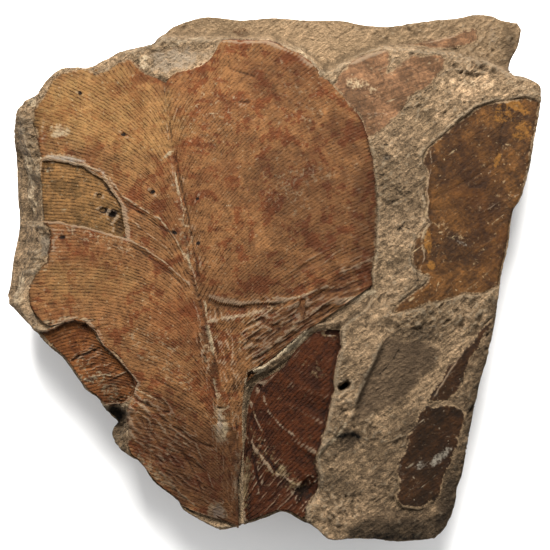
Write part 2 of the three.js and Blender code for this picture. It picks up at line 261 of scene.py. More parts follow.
# Long raised or sunken lines: the places along each, its half width, and its height.
creases = [
    (spots(
        (171, 152), (174, 174), (179, 193), (183, 212), (183, 237), (186, 252), (192, 268), (197, 288),
    ), 0.5, 0.5),
    (spots((174, 150), (181, 185), (188, 217), (194, 250), (200, 283)), 0.55, -0.5),
    (spots((164, 76), (166, 92), (169, 112), (171, 141)), 0.5, -0.35),
    (spots((177, 105), (173, 118), (175, 135)), 0.35, 0.15),
    (spots((203, 298), (208, 317), (211, 336), (214, 357), (217, 366)), 0.55, 0.32),
    (spots((217, 300), (222, 330), (228, 365), (231, 400), (236, 420)), 0.6, -0.25),
    (spots((218, 378), (223, 394), (229, 410)), 0.45, 0.3),
    (spots((236, 415), (238, 450), (238, 485), (240, 520)), 0.9, -0.4),
    (spots((228, 420), (230, 450), (229, 480), (231, 505)), 0.6, -0.22),
    (spots((80, 163), (107, 175), (122, 196), (143, 209), (160, 219), (176, 240), (191, 270)), 0.55, 0.5),
    (spots((112, 184), (126, 204), (146, 217), (162, 229), (174, 233)), 0.6, -0.5),
    (spots((126, 238), (146, 249), (166, 263), (182, 278), (196, 291)), 0.5, 0.45),
    (spots((128, 243), (150, 258), (170, 273), (188, 290)), 0.6, -0.4),
    (spots((108, 195), (124, 214), (146, 232), (166, 248), (184, 268)), 0.4, 0.3),
    (spots((222, 62), (236, 68), (250, 72), (262, 76)), 0.5, -0.28),
    (spots((39, 157), (57, 156), (75, 159), (90, 167), (101, 173), (110, 183)), 0.75, 0.42),
    (spots((36, 222), (57, 222), (71, 225), (87, 228), (100, 232), (112, 235), (127, 239)), 0.45, 0.25),
    (spots((36, 327), (46, 329), (55, 326), (65, 320), (75, 318), (86, 320), (97, 329)), 0.9, 0.35),
    (spots((94, 329), (106, 325), (118, 319)), 0.5, -0.35),
    (spots((70, 361), (80, 355), (89, 353), (101, 347)), 0.45, -0.9),
    (spots((72, 385), (82, 380), (93, 377), (107, 374)), 0.45, 0.35),
    (spots((129, 392), (140, 401), (152, 406), (163, 411), (171, 411)), 0.55, -0.95),
    (spots((126, 382), (140, 391), (153, 397), (166, 404)), 0.6, 0.45),
    (spots((160, 415), (172, 424), (189, 437), (205, 444), (216, 447)), 0.5, -0.7),
    (spots((158, 421), (168, 431), (182, 440), (196, 449)), 0.6, 0.4),
    (spots((129, 430), (138, 440), (151, 449), (166, 459)), 0.7, 0.6),
    (spots((181, 449), (190, 462), (197, 475), (203, 492)), 0.45, -0.6),
    (spots((196, 440), (201, 456), (208, 470), (214, 488)), 0.5, 0.4),
    (spots((146, 424), (158, 440), (170, 452), (180, 468)), 0.5, -0.5),
    (spots((160, 470), (172, 482), (184, 494), (196, 504)), 0.6, 0.45),
    (spots((262, 392), (268, 410), (280, 425), (296, 436)), 0.6, 0.3),
    (spots((250, 400), (256, 418), (262, 432)), 0.5, 0.45),
    (spots((246, 420), (251, 446), (256, 470), (262, 494)), 0.5, -0.45),
    (spots((126, 404), (140, 412), (150, 420), (153, 430)), 0.5, 0.5),
    (spots((132, 412), (143, 420), (146, 428)), 0.4, -0.45),
    (spots((81, 381), (92, 376), (104, 374), (116, 376), (129, 370)), 0.45, 0.45),
    (spots((150, 372), (164, 384), (180, 392), (196, 402)), 0.6, -0.3),
    (spots((218, 419), (222, 421), (228, 419)), 0.35, -0.6),
    (spots((217, 407), (222, 408), (226, 406)), 0.35, -0.6),
    (spots((273, 298), (289, 299), (302, 296), (314, 291), (330, 285)), 0.9, 0.5),
    (spots((263, 305), (281, 309), (292, 306), (302, 300)), 0.7, 0.35),
    (spots((206, 321), (228, 318), (246, 315), (262, 310), (281, 303)), 1.6, 0.75),
    (spots(
        (374, 291), (357, 297), (338, 301), (321, 306), (304, 318), (290, 330), (272, 345), (256, 358),
    ), 1.6, 1.1),
    (spots(
        (368, 280), (344, 288), (322, 294), (305, 303), (295, 318), (280, 328), (262, 340),
    ), 1.5, -0.8),
    (spots((352, 303), (333, 309), (316, 318), (300, 330), (284, 343)), 0.55, -0.45),
    (spots((340, 272), (352, 268), (366, 262), (376, 257)), 1.6, 0.4),
    (spots((330, 280), (350, 277), (372, 268)), 1.5, -0.4),
    (spots((312, 326), (301, 334), (290, 344), (278, 356), (263, 366), (248, 370)), 0.9, 0.5),
    (spots((303, 298), (301, 306), (304, 316)), 0.7, -1.1),
    (spots((245, 434), (252, 443), (259, 452), (267, 463), (274, 473)), 0.9, 0.55),
    (spots((276, 472), (286, 478), (294, 483), (302, 486)), 1.1, 0.6),
    (spots((252, 440), (262, 452), (272, 464), (282, 476), (296, 492)), 0.9, -0.4),
    (spots((343, 75), (350, 80), (358, 83), (367, 83), (378, 90), (395, 99)), 0.45, 0.12),
    (spots((345, 83), (353, 88), (364, 89), (376, 95), (392, 103)), 0.4, -0.3),
    (spots((360, 113), (378, 112), (394, 111)), 0.6, 0.12),
    (spots(
        (434, 145), (431, 151), (432, 164), (429, 178), (427, 191), (429, 200), (427, 216), (431, 223),
        (424, 231), (421, 241), (424, 258), (420, 269),
    ), 0.4, 0.35),
    (spots((429, 200), (448, 190), (470, 180), (484, 170), (496, 159)), 0.5, -0.28),
    (spots((430, 210), (445, 210), (458, 206)), 0.4, -0.3),
    (spots((482, 212), (496, 204), (508, 198), (523, 193)), 0.35, 0.22),
    (spots((503, 104), (507, 118), (501, 132), (503, 146), (497, 158)), 0.45, -0.22),
    (spots((400, 347), (393, 358), (385, 368), (375, 378)), 0.6, -0.45),
    (spots((380, 409), (395, 406), (410, 402), (424, 400)), 0.3, -0.35),
    (spots((366, 376), (362, 384), (360, 398), (362, 407), (356, 419)), 0.5, -0.35),
    (spots((345, 423), (338, 435), (328, 443), (319, 452), (314, 462)), 1.1, 0.9),
    (spots((340, 436), (350, 432), (358, 436)), 1.8, -0.5),
    (spots((395, 199), (387, 206), (384, 210)), 0.35, -0.75),
    (spots((405, 221), (402, 228), (398, 233)), 0.35, -0.8),
    (spots((376, 172), (383, 174), (390, 175)), 0.3, -0.65),
    (spots((381, 205), (392, 203), (402, 197), (410, 191)), 0.4, -0.55),
    (spots((395, 232), (402, 226), (410, 229), (417, 226)), 0.35, -0.7),
    (spots((418, 262), (416, 274), (418, 281)), 0.5, -0.6),
    (spots((33, 196), (27, 212), (20, 228)), 0.35, -0.45),
    (spots((30, 236), (22, 262), (15, 298)), 0.35, -0.45),
]

# Steps down: the face is lower on the right of each line by the drop, over a given width, and
# comes back to its own level over the reach.
steps = [
    (spots(
        (205, 292), (210, 298), (218, 302), (228, 304), (240, 306), (254, 304), (272, 303), (292, 303),
    ), 0.95, 0.25, 5.0),
    (spots((386, 333), (380, 348), (372, 366), (364, 384), (357, 402), (350, 422)), -2.0, 1.4, 11.0),
    (spots((340, 424), (333, 436), (322, 448), (315, 460)), -1.2, 1.0, 6.0),
    (spots((470, 338), (458, 356), (447, 372), (436, 390), (427, 404)), 0.5, 0.6, 6.0),
    (spots((470, 22), (452, 29), (434, 33), (416, 36), (398, 38)), 0.6, 0.3, 4.0),
    (spots((505, 60), (490, 70), (476, 72), (462, 70), (450, 66)), -1.2, 0.6, 5.0),
]

# Wrinkled parts: an outline, the direction of the wrinkles in degrees, their spacing and height.
wrinkled = [
    (spots(
        (248, 368), (236, 340), (240, 312), (270, 304), (300, 297), (335, 288), (372, 276), (372, 300),
        (350, 318), (309, 326), (289, 345), (262, 367),
    ), 32, 1.5, 0.75),
    (spots(
        (192, 285), (214, 300), (236, 310), (240, 345), (246, 380), (242, 524), (222, 526), (212, 470),
        (200, 400), (190, 340),
    ), 98, 1.3, 0.42),
    (spots(
        (120, 372), (170, 395), (205, 430), (215, 510), (160, 482), (128, 445), (126, 410),
    ), -42, 2.4, 0.75),
    (spots((243, 400), (262, 430), (300, 470), (318, 486), (306, 520), (243, 522)), 55, 1.8, 0.4),
    (spots(
        (60, 335), (90, 330), (124, 366), (138, 384), (124, 402), (98, 396), (70, 362),
    ), 20, 2.0, 0.45),
    (spots(
        (262, 288), (290, 262), (322, 236), (350, 222), (378, 214), (376, 264), (366, 276), (330, 284),
        (296, 292),
    ), 30, 3.6, 0.55),
]

# Pits and hollows: each one's place, its two half widths and its depth.
pits = [
    ((78, 91), 0.45, 0.45, 0.5), ((122, 133), 0.6, 0.5, 0.5), ((62, 237), 0.9, 0.5, 0.4),
    ((152, 191), 0.6, 0.5, 0.6), ((197, 198), 0.4, 0.4, 0.6), ((198, 243), 0.4, 0.4, 0.5),
    ((174, 232), 0.7, 0.5, 0.5), ((261, 386), 0.5, 0.5, 0.7), ((262, 443), 0.5, 0.5, 0.6),
    ((94, 71), 0.7, 0.5, 0.5), ((98, 195), 0.7, 0.6, 0.9), ((102, 210), 1.1, 0.9, 1.1),
    ((111, 214), 1.3, 1.0, 1.3), ((118, 226), 1.4, 2.6, 0.8), ((46, 168), 0.6, 0.5, 0.4),
    ((303, 309), 0.9, 1.6, 1.6), ((262, 319), 1.0, 0.6, 0.7), ((273, 326), 1.2, 0.6, 0.7),
    ((256, 341), 1.3, 0.6, 0.6), ((264, 300), 0.8, 0.5, 0.4), ((310, 492), 3.6, 3.4, 2.6),
    ((341, 388), 1.1, 0.8, 4.0), ((346, 384), 1.1, 0.9, 4.0), ((386, 143), 0.7, 0.35, 0.6),
    ((388, 156), 2.0, 1.2, 0.8), ((456, 63), 1.2, 0.8, 1.0), ((474, 59), 0.7, 0.6, 0.9),
    ((466, 53), 0.5, 0.4, 0.6), ((487, 66), 1.6, 1.2, 1.1), ((353, 440), 2.6, 2.0, 1.0),
    ((330, 470), 1.0, 0.8, 0.7), ((240, 38), 1.0, 0.4, 0.3), ((244, 100), 1.6, 0.5, 0.4),
    ((117, 418), 2.8, 4.0, 6.0), ((224, 512), 2.6, 3.0, 0.7), ((43, 244), 2.2, 4.6, 1.3),
    ((28, 128), 3.0, 5.0, 0.8),
]


wander = 0.35              # how far edges and folds stray from their lines
trough_depth = 1.4         # the trough beside the main leaf's right edge, and the swell beyond it
trough_place = 29
trough_half_width = 5
swell_rise = 1.1
swell_place = (38, 6)
swell_half_width = 9
swell_half_length = 34
midrib_depth = 0.9
midrib_half_width = 4.5
patch_depth = 1.0
chip_depth = 1.1
chip_edge_depth = 0.25
lower_leaf_depth = 1.9
lower_left_depth = 2.2


def split_face(x, y):
    """Height of the face, with every fold and step that the leaves and the rock share."""
    x = x + wander * rough(x, y, 2.2, 11, 3)
    y = y + wander * rough(x, y, 2.2, 12, 3)
    height = dome(x, y)
    height -= ledge_drop * smooth(y - np.interp(x, ledge_edge[:, 0], ledge_edge[:, 1]), -0.5, 4)
    trough = bell(x - trough_place - 0.03 * y, trough_half_width)
    height -= trough_depth * trough * smooth(y, -22, -4) * smooth(-y, -56, -44)
    swell_x, swell_y = swell_place
    height += swell_rise * bell(x - swell_x, swell_half_width) * bell(y - swell_y, swell_half_length)
    valley = np.abs(beside(x, y, midrib_line, 16.0)[0])
    height -= midrib_depth * np.exp(-valley / midrib_half_width) * smooth(-y, -64, -20)
    patch = inside(x, y, patch_outline)
    height -= patch_depth * smooth(patch, -0.1, 0.25)
    chip = inside(x, y, chip_outline)
    height -= chip_edge_depth * smooth(chip, 0, 0.3) + chip_depth * smooth(chip, 0, 4.0)
    lower = beside(x, y, broken_band, 30.0)[0]
    lower_side = smooth(inside(x, y, lower_region), -0.1, 0.4)
    height -= lower_leaf_depth * smooth(lower, -0.1, 2.4) * (lower < 55) * lower_side
    layer = beside(x, y, layer_edge, 14.0)[0]
    height -= lower_left_depth * smooth(-layer, -0.1, 0.5) * (layer > -20) * smooth(-y, 10, 14)
    broken = 0.65 + 0.8 * rough(x, y, 1.7, 13, 3)
    for line, width, rise in creases:
        off, passed = beside(x, y, line, 3.2 * width)
        ends = smooth(passed, 0, 0.08) * smooth(-passed, -1, -0.92)
        height += rise * broken * ends * np.exp(-np.abs(off / (0.85 * width)) ** 1.4)
    for outline, turn, size, rise in wrinkled:
        within = smooth(inside(x, y, outline), 0, 3)
        c, s = math.cos(math.radians(turn)), math.sin(math.radians(turn))
        folds = np.abs(rough((x * c + y * s) * 0.22, y * c - x * s, size, 14, 3))
        height += rise * within * (0.5 - 2.2 * folds)
    for line, drop, width, reach in steps:
        off, passed = beside(x, y, line, 2.5 * reach)
        ends = smooth(passed, 0, 0.2) * smooth(-passed, -1, -0.8)
        height -= drop * ends * smooth(-off, -width / 2, width / 2) * np.exp(np.minimum(off, 0) / reach)
    for place, half_x, half_y, depth in pits:
        (px, py), = spots(place)
        away = np.hypot((x - px) / half_x, (y - py) / half_y)
        away = away * (1 + 0.9 / max(half_x, 1) * rough(x, y, 1.1, 15, 2))
        height -= depth * np.exp(-np.abs(away) ** 3)
    return height


# A film of leaf is a thin skin on the rock. Where its side veins show, its mesh is a fan of
# rows that follow them, so that each vein is a real ridge. The guide lines are a few of the
# veins, each from the midrib out to the leaf's edge.
vein_gap = 0.93            # from vein to vein at the leaf's edge
vein_height = 0.11
groove_half_width = 0.20
vein_sway = 0.075          # how far a vein strays from its row, as a part of the way to the next
past_outline = 0.25        # how far a film's mesh runs past its outline, and stops short of the rim
short_of_rim = 0.35
midrib_columns = 12        # columns beside the midrib that are always kept
fewest_columns = 8
fray = 0.22                # how far a film's edge strays from its outline
guide_points = 260         # points along each guide line, and lines made between two guides
guide_lines = 30
film_depth = 0.6
under_row_step = 16        # the coarse underside takes only some of the rows and columns
under_column_step = 6


def even_rows(guides, columns):
    """The guide lines with the same number of evenly spaced points on each."""
    rows = []
    for guide in guides:
        line = eased(guide, 0.3)
        passed = np.concatenate([[0], np.cumsum(np.hypot(*np.diff(line, axis=0).T))])
        wanted = np.linspace(0, passed[-1], columns)
        rows.append(np.stack([np.interp(wanted, passed, line[:, axis]) for axis in (0, 1)], 1))
    return np.array(rows)


def between_rows(rows, at):
    """Rows at fractional places in a list of rows, on a smooth sheet through them all."""
    last = len(rows) - 1
    whole = np.clip(np.floor(at).astype(int), 0, last - 1)
    t = (at - whole)[:, None, None]
    before, start, end, after = (rows[np.clip(whole + k, 0, last)] for k in (-1, 0, 1, 2))
    return bridge(t, start, end, (end - before) / 2, (after - start) / 2)


def fan(guides, outline, columns, forks=4, rows_each=4, gap=vein_gap, from_midrib=False):
    """Rows of points that follow the veins inside the outline, with what each needs to show them."""
    spans = len(guides) - 1
    rows = between_rows(even_rows(guides, guide_points), np.linspace(0, spans, spans * guide_lines + 1))
    x, y = rows[..., 0], rows[..., 1]
    shifted = (x + fray * rough(x, y, 1.3, 21, 3), y + fray * rough(x, y, 1.3, 22, 3))
    frayed = inside(*shifted, outline) > -past_outline
    frayed &= inside(x, y, rim_outline) > short_of_rim
    frayed[:, :midrib_columns] |= from_midrib
    begin = np.argmax(frayed, axis=1)
    frayed |= np.arange(frayed.shape[1])[None, :] < begin[:, None]
    kept = np.where(frayed.all(1), frayed.shape[1] - 1, np.argmin(frayed, axis=1))
    long_enough = kept > begin + fewest_columns
    rows, begin, kept = rows[long_enough], begin[long_enough], kept[long_enough]
    columns_at = begin[:, None] + np.linspace(0, 1, columns)[None, :] * (kept - begin)[:, None]
    low = np.clip(columns_at.astype(int), 0, rows.shape[1] - 2)
    part = (columns_at - low)[..., None]
    line = np.arange(len(rows))[:, None]
    rows = rows[line, low] * (1 - part) + rows[line, low + 1] * part
    look = int(columns * 0.8)
    across = np.diff(rows[:, look], axis=0)
    along = (rows[:, look + 1] - rows[:, look - 1])[:-1]
    apart = np.abs(across[:, 0] * along[:, 1] - across[:, 1] * along[:, 0]) / np.hypot(*along.T)
    number = np.concatenate([[0], np.cumsum(apart)]) / (gap * forks)
    count = int(number[-1] * forks * rows_each)
    wanted = np.linspace(0, number[-1], count)
    at = np.interp(wanted, number, np.arange(len(number)))
    whole = np.clip(at.astype(int), 0, len(rows) - 2)
    part = (at - whole)[:, None, None]
    rows = rows[whole] * (1 - part) + rows[whole + 1] * part
    across = np.gradient(rows, axis=0)
    along = np.gradient(rows, axis=1)
    apart = np.abs(across[..., 0] * along[..., 1] - across[..., 1] * along[..., 0])
    cell = apart / (np.hypot(along[..., 0], along[..., 1]) + tiny) * forks * rows_each
    number = wanted[:, None] + vein_sway * rough(rows[..., 0], rows[..., 1], 3.0, 32, 4)
    own = np.maximum(np.floor(number + 0.5), 0).astype(int)
    chance = np.random.default_rng(31).uniform(-0.25, 0.25, own.max() + 1)[own]
    ratio = cell / gap
    place = np.abs(number - own)
    fork = smooth(ratio + chance, 1.05, 1.5)
    fork_again = smooth(ratio + 2 * chance, 2.15, 2.9) * (forks == 4)
    place = np.abs(np.abs(place - 0.25 * fork) - 0.125 * fork_again)
    to_groove = (0.5 - 0.25 * fork - 0.125 * fork_again - place) * cell
    uneven = 0.6 + 0.7 * rough(rows[..., 0], rows[..., 1], 2.4, 33, 3)
    ridge = (1 - bell(to_groove, groove_half_width)) * uneven
    return rows, ridge, {"vein_number": number, "vein_cell": cell, "fork": fork, "fork_again": fork_again}


def net(rows, first):
    """The faces of a grid of points that starts at the vertex first, and the points' numbers."""
    numbers = first + np.arange(rows.shape[0] * rows.shape[1]).reshape(rows.shape[:2])
    low, high = numbers[:-1], numbers[1:]
    faces = np.stack([low[:, :-1], low[:, 1:], high[:, 1:], high[:, :-1]], -1).reshape(-1, 4)
    return faces.tolist(), numbers


def zip_up(first, second, first_at, second_at):
    """Triangles that join two lines of vertices, each with its own places along the seam."""
    faces = []
    i = j = 0
    while i < len(first) - 1 or j < len(second) - 1:
        if j == len(second) - 1 or (i < len(first) - 1 and first_at[i + 1] <= second_at[j + 1]):
            faces.append((first[i], second[j], first[i + 1]))
            i += 1
        else:
            faces.append((first[i], second[j], second[j + 1]))
            j += 1
    return faces


def make_piece(name, points, faces, material, marks):
    """A piece from points in millimetres, with a number for each point under each mark's name."""
    mesh = bpy.data.meshes.new(name)
    mesh.from_pydata((points * 0.001).tolist(), [], faces)
    mesh.materials.append(material)
    for mark, values in marks.items():
        layer = mesh.attributes.new(mark, "FLOAT", "POINT")
        layer.data.foreach_set("value", np.asarray(values, np.float32).ravel())
    mesh.polygons.foreach_set("use_smooth", [True] * len(mesh.polygons))
    mesh.validate()
    piece = bpy.data.objects.new(name, mesh)
    bpy.context.scene.collection.objects.link(piece)
    return piece


coarse_gap = 1.6           # between the points of the large triangles
pave_shake = 0.22          # how far a point strays, as a part of the gap


def pave(loop, fine, coarse_from=None):
    """Triangles over a closed loop, fine ones and, where coarse_from says so, large ones."""
    low, high = loop.min(0), loop.max(0)
    points = [loop]
    for gap, wanted_coarse in ((fine, False), (coarse_gap, True)):
        if wanted_coarse and coarse_from is None:
            continue
        columns = np.arange(low[0], high[0], gap)
        lines = np.arange(low[1], high[1], gap * 0.866)
        x, y = np.meshgrid(columns, lines)
        x = x + (np.arange(len(lines)) % 2)[:, None] * gap / 2
        shake = np.random.default_rng(5).uniform(-pave_shake, pave_shake, (2, *x.shape)) * gap
        x, y = (x + shake[0]).ravel(), (y + shake[1]).ravel()
        keep = inside(x, y, loop, 3.0) > 0.55 * gap
        if coarse_from is not None:
            keep &= coarse_from(x, y) == wanted_coarse
        points.append(np.stack([x[keep], y[keep]], 1))
    points = np.concatenate(points)
    edges = [(k, (k + 1) % len(loop)) for k in range(len(loop))]
    made = delaunay_2d_cdt([Vector(p) for p in points.tolist()], edges, [], 1, 1e-6)
    flat = np.array([(p.x, p.y) for p in made[0]])
    return flat, [tuple(face) for face in made[2]], len(loop)


# The block's outline from above, clockwise from its left corner. The rim of the split face runs
# just inside it, and well inside it at the left, where the wall leans out.
silhouette = spots(
    (11, 136), (13, 120), (16, 108), (22, 99), (34, 92), (41, 82), (51, 72), (60, 67), (87, 66),
    (107, 59), (128, 49), (150, 46), (160, 34), (171, 24), (181, 19), (204, 13), (241, 16), (273, 14),
    (300, 16), (341, 17), (370, 22), (390, 23), (429, 17), (455, 15), (472, 12), (488, 11), (508, 18),
    (520, 20), (524, 25), (523, 34), (520, 45), (514, 56), (512, 66), (516, 72), (527, 74), (537, 79),
    (543, 84), (544, 92), (543, 107), (536, 143), (531, 171), (522, 199), (516, 208), (512, 224),
    (510, 242), (502, 275), (499, 296), (494, 326), (486, 362), (480, 382), (474, 408), (468, 436),
    (460, 474), (455, 487), (454, 497), (450, 512), (443, 527), (431, 537), (410, 539), (393, 540),
    (358, 537), (340, 539), (328, 538), (313, 525), (301, 519), (288, 512), (280, 511), (266, 516),
    (242, 524), (220, 528), (208, 523), (185, 510), (178, 500), (155, 482), (141, 462), (130, 456),
    (116, 443), (112, 434), (113, 428), (117, 422), (108, 413), (98, 399), (86, 390), (76, 375),
    (65, 359), (57, 352), (46, 342), (30, 324), (18, 311), (10, 304), (8, 296), (10, 280), (12, 260),
    (18, 225), (16, 200), (14, 160),
)
widest_below = 4 + 6 * smooth(silhouette[:, 1], 56, 64)
widest_below += 5 * smooth(-silhouette[:, 0], 46, 66) * smooth(-silhouette[:, 1], -52, -30)
block_outline = seen(silhouette, widest_below)
rim_part = 0.987           # the rim's place on the way from the middle to the outline
left_lean = 0.1            # taken off that where the left wall leans out


def rim_reach(x, y):
    """How far out the split face's rim is, as a part of the way from the origin to the outline."""
    return rim_part - left_lean * smooth(-x, 46, 66) * smooth(-y, -52, -30) * smooth(y, -14, 2)


block_edge = eased(block_outline, 0.42, closed=True)
rim_edge = block_edge * rim_reach(block_edge[:, 0], block_edge[:, 1])[:, None]
rim_outline = rim_edge[::4]


# The main leaf: a broad leaf of many close forking veins on both sides of a sunken midrib, kept
# as a thin warm brown film of mineral. Its edge is broken off at the chip in the back rim, round
# the sunken patch at the left and along the pale band above the lower leaf.
main_outline = spots(
    (218, 41), (222, 37), (232, 36), (252, 36), (268, 36), (278, 39), (288, 46), (301, 52), (311, 58),
    (316, 66), (320, 75), (328, 78), (336, 87), (343, 94), (351, 104), (359, 113), (364, 123), (368, 134),
    (369, 147), (373, 157), (375, 180), (377, 200), (377, 215), (376, 235), (376, 250), (373, 262),
    (371, 273), (373, 288), (370, 299), (366, 306), (358, 313), *band_edge, (242, 524), (220, 528),
    (196, 516), (179, 501), (156, 482), (141, 464), (131, 455), (128, 444), (130, 432), (128, 420),
    (127, 410), (131, 400), (137, 390), *lip_edge, (38, 328), (34, 318), (31, 304), (30, 291), (32, 279),
    (39, 271), (47, 264), (49, 247), (50, 228), (41, 222), (40, 205), (39, 190), (41, 175), (41, 160),
    (38, 145), (35, 130), (32, 122), (31, 112), (37, 101), (43, 93), (45, 87), (51, 78), (60, 70),
    (75, 68), (88, 68), (96, 71), (106, 69), (118, 61), (128, 56), *chip_edge,
)
left_veins = [
    spots((163, 80), (158, 77), (151, 74), (143, 68)),
    spots((165, 112), (153, 92), (139, 77), (124, 54)),
    spots((168, 142), (152, 116), (131, 94), (106, 66)),
    spots((171, 166), (150, 134), (120, 104), (84, 82), (50, 66)),
    spots((174, 192), (150, 154), (116, 126), (78, 104), (36, 86)),
    spots((178, 220), (154, 178), (118, 152), (76, 134), (26, 120)),
    spots((182, 246), (158, 205), (122, 180), (80, 166), (34, 155)),
    spots((186, 270), (164, 232), (128, 210), (84, 198), (34, 189)),
    spots((191, 293), (168, 260), (130, 240), (86, 230), (38, 227)),
    spots((199, 318), (172, 282), (134, 260), (88, 250), (40, 249)),
    spots((205, 342), (180, 306), (140, 282), (92, 272), (26, 272)),
    spots((211, 368), (186, 334), (144, 306), (94, 296), (26, 297)),
    spots((216, 392), (192, 362), (150, 334), (104, 318), (48, 326)),
    spots((221, 412), (198, 386), (164, 362), (132, 350), (104, 344)),
    spots((227, 434), (206, 408), (178, 390), (154, 378), (132, 373)),
    spots((232, 460), (214, 436), (188, 416), (160, 402), (130, 396)),
    spots((235, 485), (220, 460), (192, 438), (158, 424), (124, 418)),
    spots((237, 502), (222, 484), (196, 462), (164, 450), (126, 438)),
    spots((238, 512), (224, 498), (200, 484), (170, 474), (140, 464)),
    spots((239, 520), (228, 514), (212, 508), (194, 501), (166, 490)),
    spots((239, 526), (232, 526), (224, 526), (214, 525), (203, 521)),
]
right_veins = [
    spots((165, 80), (168, 76), (172, 72), (177, 68)),
    spots((167, 112), (176, 94), (189, 78), (204, 58)),
    spots((171, 138), (180, 112), (196, 88), (212, 64), (226, 33)),
    spots((174, 165), (181, 132), (204, 98), (232, 64), (266, 32)),
    spots((177, 190), (186, 156), (214, 120), (252, 84), (294, 44)),
    spots((182, 215), (193, 184), (230, 136), (270, 99), (322, 60)),
    spots((186, 242), (198, 212), (232, 168), (280, 126), (348, 84)),
    spots((191, 270), (205, 240), (240, 195), (292, 149), (368, 112)),
    spots((198, 296), (214, 268), (250, 226), (306, 181), (376, 142)),
    spots((206, 322), (226, 290), (262, 254), (318, 213), (381, 181)),
    spots((212, 346), (234, 318), (270, 282), (322, 247), (383, 218)),
    spots((219, 374), (241, 344), (276, 311), (326, 278), (382, 252)),
    spots((228, 404), (248, 373), (281, 340), (326, 308), (378, 284)),
    spots((233, 430), (243, 402), (258, 378), (286, 350)),
    spots((236, 455), (241, 432), (246, 410), (252, 388)),
    spots((238, 480), (241, 466), (243, 452), (246, 436)),
]


def edge_walk(numbers, rows_at, columns_at):
    """The vertices round a half fan, from its first to its last point on the midrib."""
    walk = np.concatenate([numbers[0], numbers[1:, -1], numbers[-1, -2::-1]])
    far = columns_at[-1]
    places = np.concatenate([columns_at, far + rows_at[1:], far + rows_at[-1] + far - columns_at[-2::-1]])
    return walk, places


def film_mesh(halves, heights):
    """A closed thin skin from one or two half fans: a fine top, a coarse underside and its edge."""
    points, faces, loops = [], [], []
    first = 0
    for under in (False, True):
        walks, seams = [], []
        for (rows, _, _), height in zip(halves, heights):
            count, columns = rows.shape[:2]
            row_step, column_step = (under_row_step, under_column_step) if under else (1, 1)
            rows_at = np.unique(np.append(np.arange(0, count, row_step), count - 1))
            columns_at = np.unique(np.append(np.arange(0, columns, column_step), columns - 1))
            picked = np.ix_(rows_at, columns_at)
            level = height[picked] - (film_depth if under else 0)
            sheet = np.dstack([rows[picked], level])
            more, numbers = net(sheet, first)
            first += numbers.size
            points.append(sheet.reshape(-1, 3))
            faces += more
            walks.append(edge_walk(numbers, rows_at, columns_at))
            seams.append((numbers[:, 0], -rows[rows_at, 0, 1], rows_at))
        if len(halves) == 2:
            (one, one_at, _), (two, two_at, _) = seams
            faces += zip_up(one, two, one_at, two_at)
            (walk, places), (back, back_places) = walks
            walk = np.concatenate([walk, back[::-1]])
            places = np.concatenate([places, places[-1] + 1 + back_places[-1] - back_places[::-1]])
        else:
            (walk, places), (seam, _, seam_rows) = walks[0], seams[0]
            walk = np.concatenate([walk, seam[-2:0:-1]])
            places = np.concatenate([places, places[-1] + seam_rows[-1] - seam_rows[-2:0:-1]])
        loops.append((np.append(walk, walk[0]), np.append(places, places[-1] + 1)))
    (top, top_at), (low, low_at) = loops
    low_at[-1] = top_at[-1]
    faces += zip_up(top, low, top_at, low_at)
    return np.concatenate(points), [tuple(int(v) for v in face) for face in faces]


class Wire:
    """The output of a shader node, which takes part in sums as a number would."""

    def __init__(self, tree, socket):
        self.tree = tree
        self.socket = socket

    def node(self, kind, settings=(), values=(), out=0):
        made = self.tree.nodes.new("ShaderNode" + kind)
        for name, setting in dict(settings).items():
            setattr(made, name, setting)
        for name, value in dict(values).items():
            if isinstance(value, Wire):
                self.tree.links.new(value.socket, made.inputs[name])
            else:
                made.inputs[name].default_value = value
        return Wire(self.tree, made.outputs[out])

    def sum(self, operation, first, second):
        return self.node("Math", {"operation": operation}, {0: first, 1: second})

    def __add__(self, other):
        return self.sum("ADD", self, other)

    def __sub__(self, other):
        return self.sum("SUBTRACT", self, other)

    def __rsub__(self, other):
        return self.sum("SUBTRACT", other, self)

    def __mul__(self, other):
        return self.sum("MULTIPLY", self, other)

    __radd__ = __add__
    __rmul__ = __mul__

    def between(self, low, high, start=0.0, end=1.0):
        """Eased from start to end as this goes from low to high."""
        settings = {"interpolation_type": "SMOOTHSTEP"}
        return self.node("MapRange", settings, {0: self, 1: low, 2: high, 3: start, 4: end})

    def mixed(self, low, high):
        """A colour between two others, where this says how much of the second to take."""
        return self.node("Mix", {"data_type": "RGBA"}, {0: self, 6: low, 7: high}, out=2)

    def tinted(self, colour, part):
        """This colour with part of it turned to another colour."""
        return part.mixed(self, colour)

    def times(self, part, strength):
        """This colour made darker or lighter by a number."""
        grey = self.node("CombineColor", (), {0: part, 1: part, 2: part})
        values = {0: strength, 6: self, 7: grey}
        return self.node("Mix", {"data_type": "RGBA", "blend_type": "MULTIPLY"}, values, out=2)

    def grain(self, size, detail, roughness, bend=0.0):
        """Noise whose lumps are about size metres across, where this is a place."""
        values = {"Vector": self, "Scale": 1 / size, "Detail": detail, "Roughness": roughness}
        return self.node("TexNoise", (), {**values, "Distortion": bend})

    def stretched(self, scale, turn=0.0):
        """This place drawn out by a scale for each axis, then turned about the vertical by degrees."""
        values = {"Vector": self, "Rotation": (0.0, 0.0, math.radians(turn)), "Scale": scale}
        return self.node("Mapping", {"vector_type": "TEXTURE"}, values)


def paint(code):
    """A shader colour from a colour written as six hexadecimal digits."""
    parts = [int(code[k:k + 2], 16) / 255 for k in (0, 2, 4)]
    light = [part / 12.92 if part < 0.04045 else ((part + 0.055) / 1.055) ** 2.4 for part in parts]
    return (*light, 1.0)


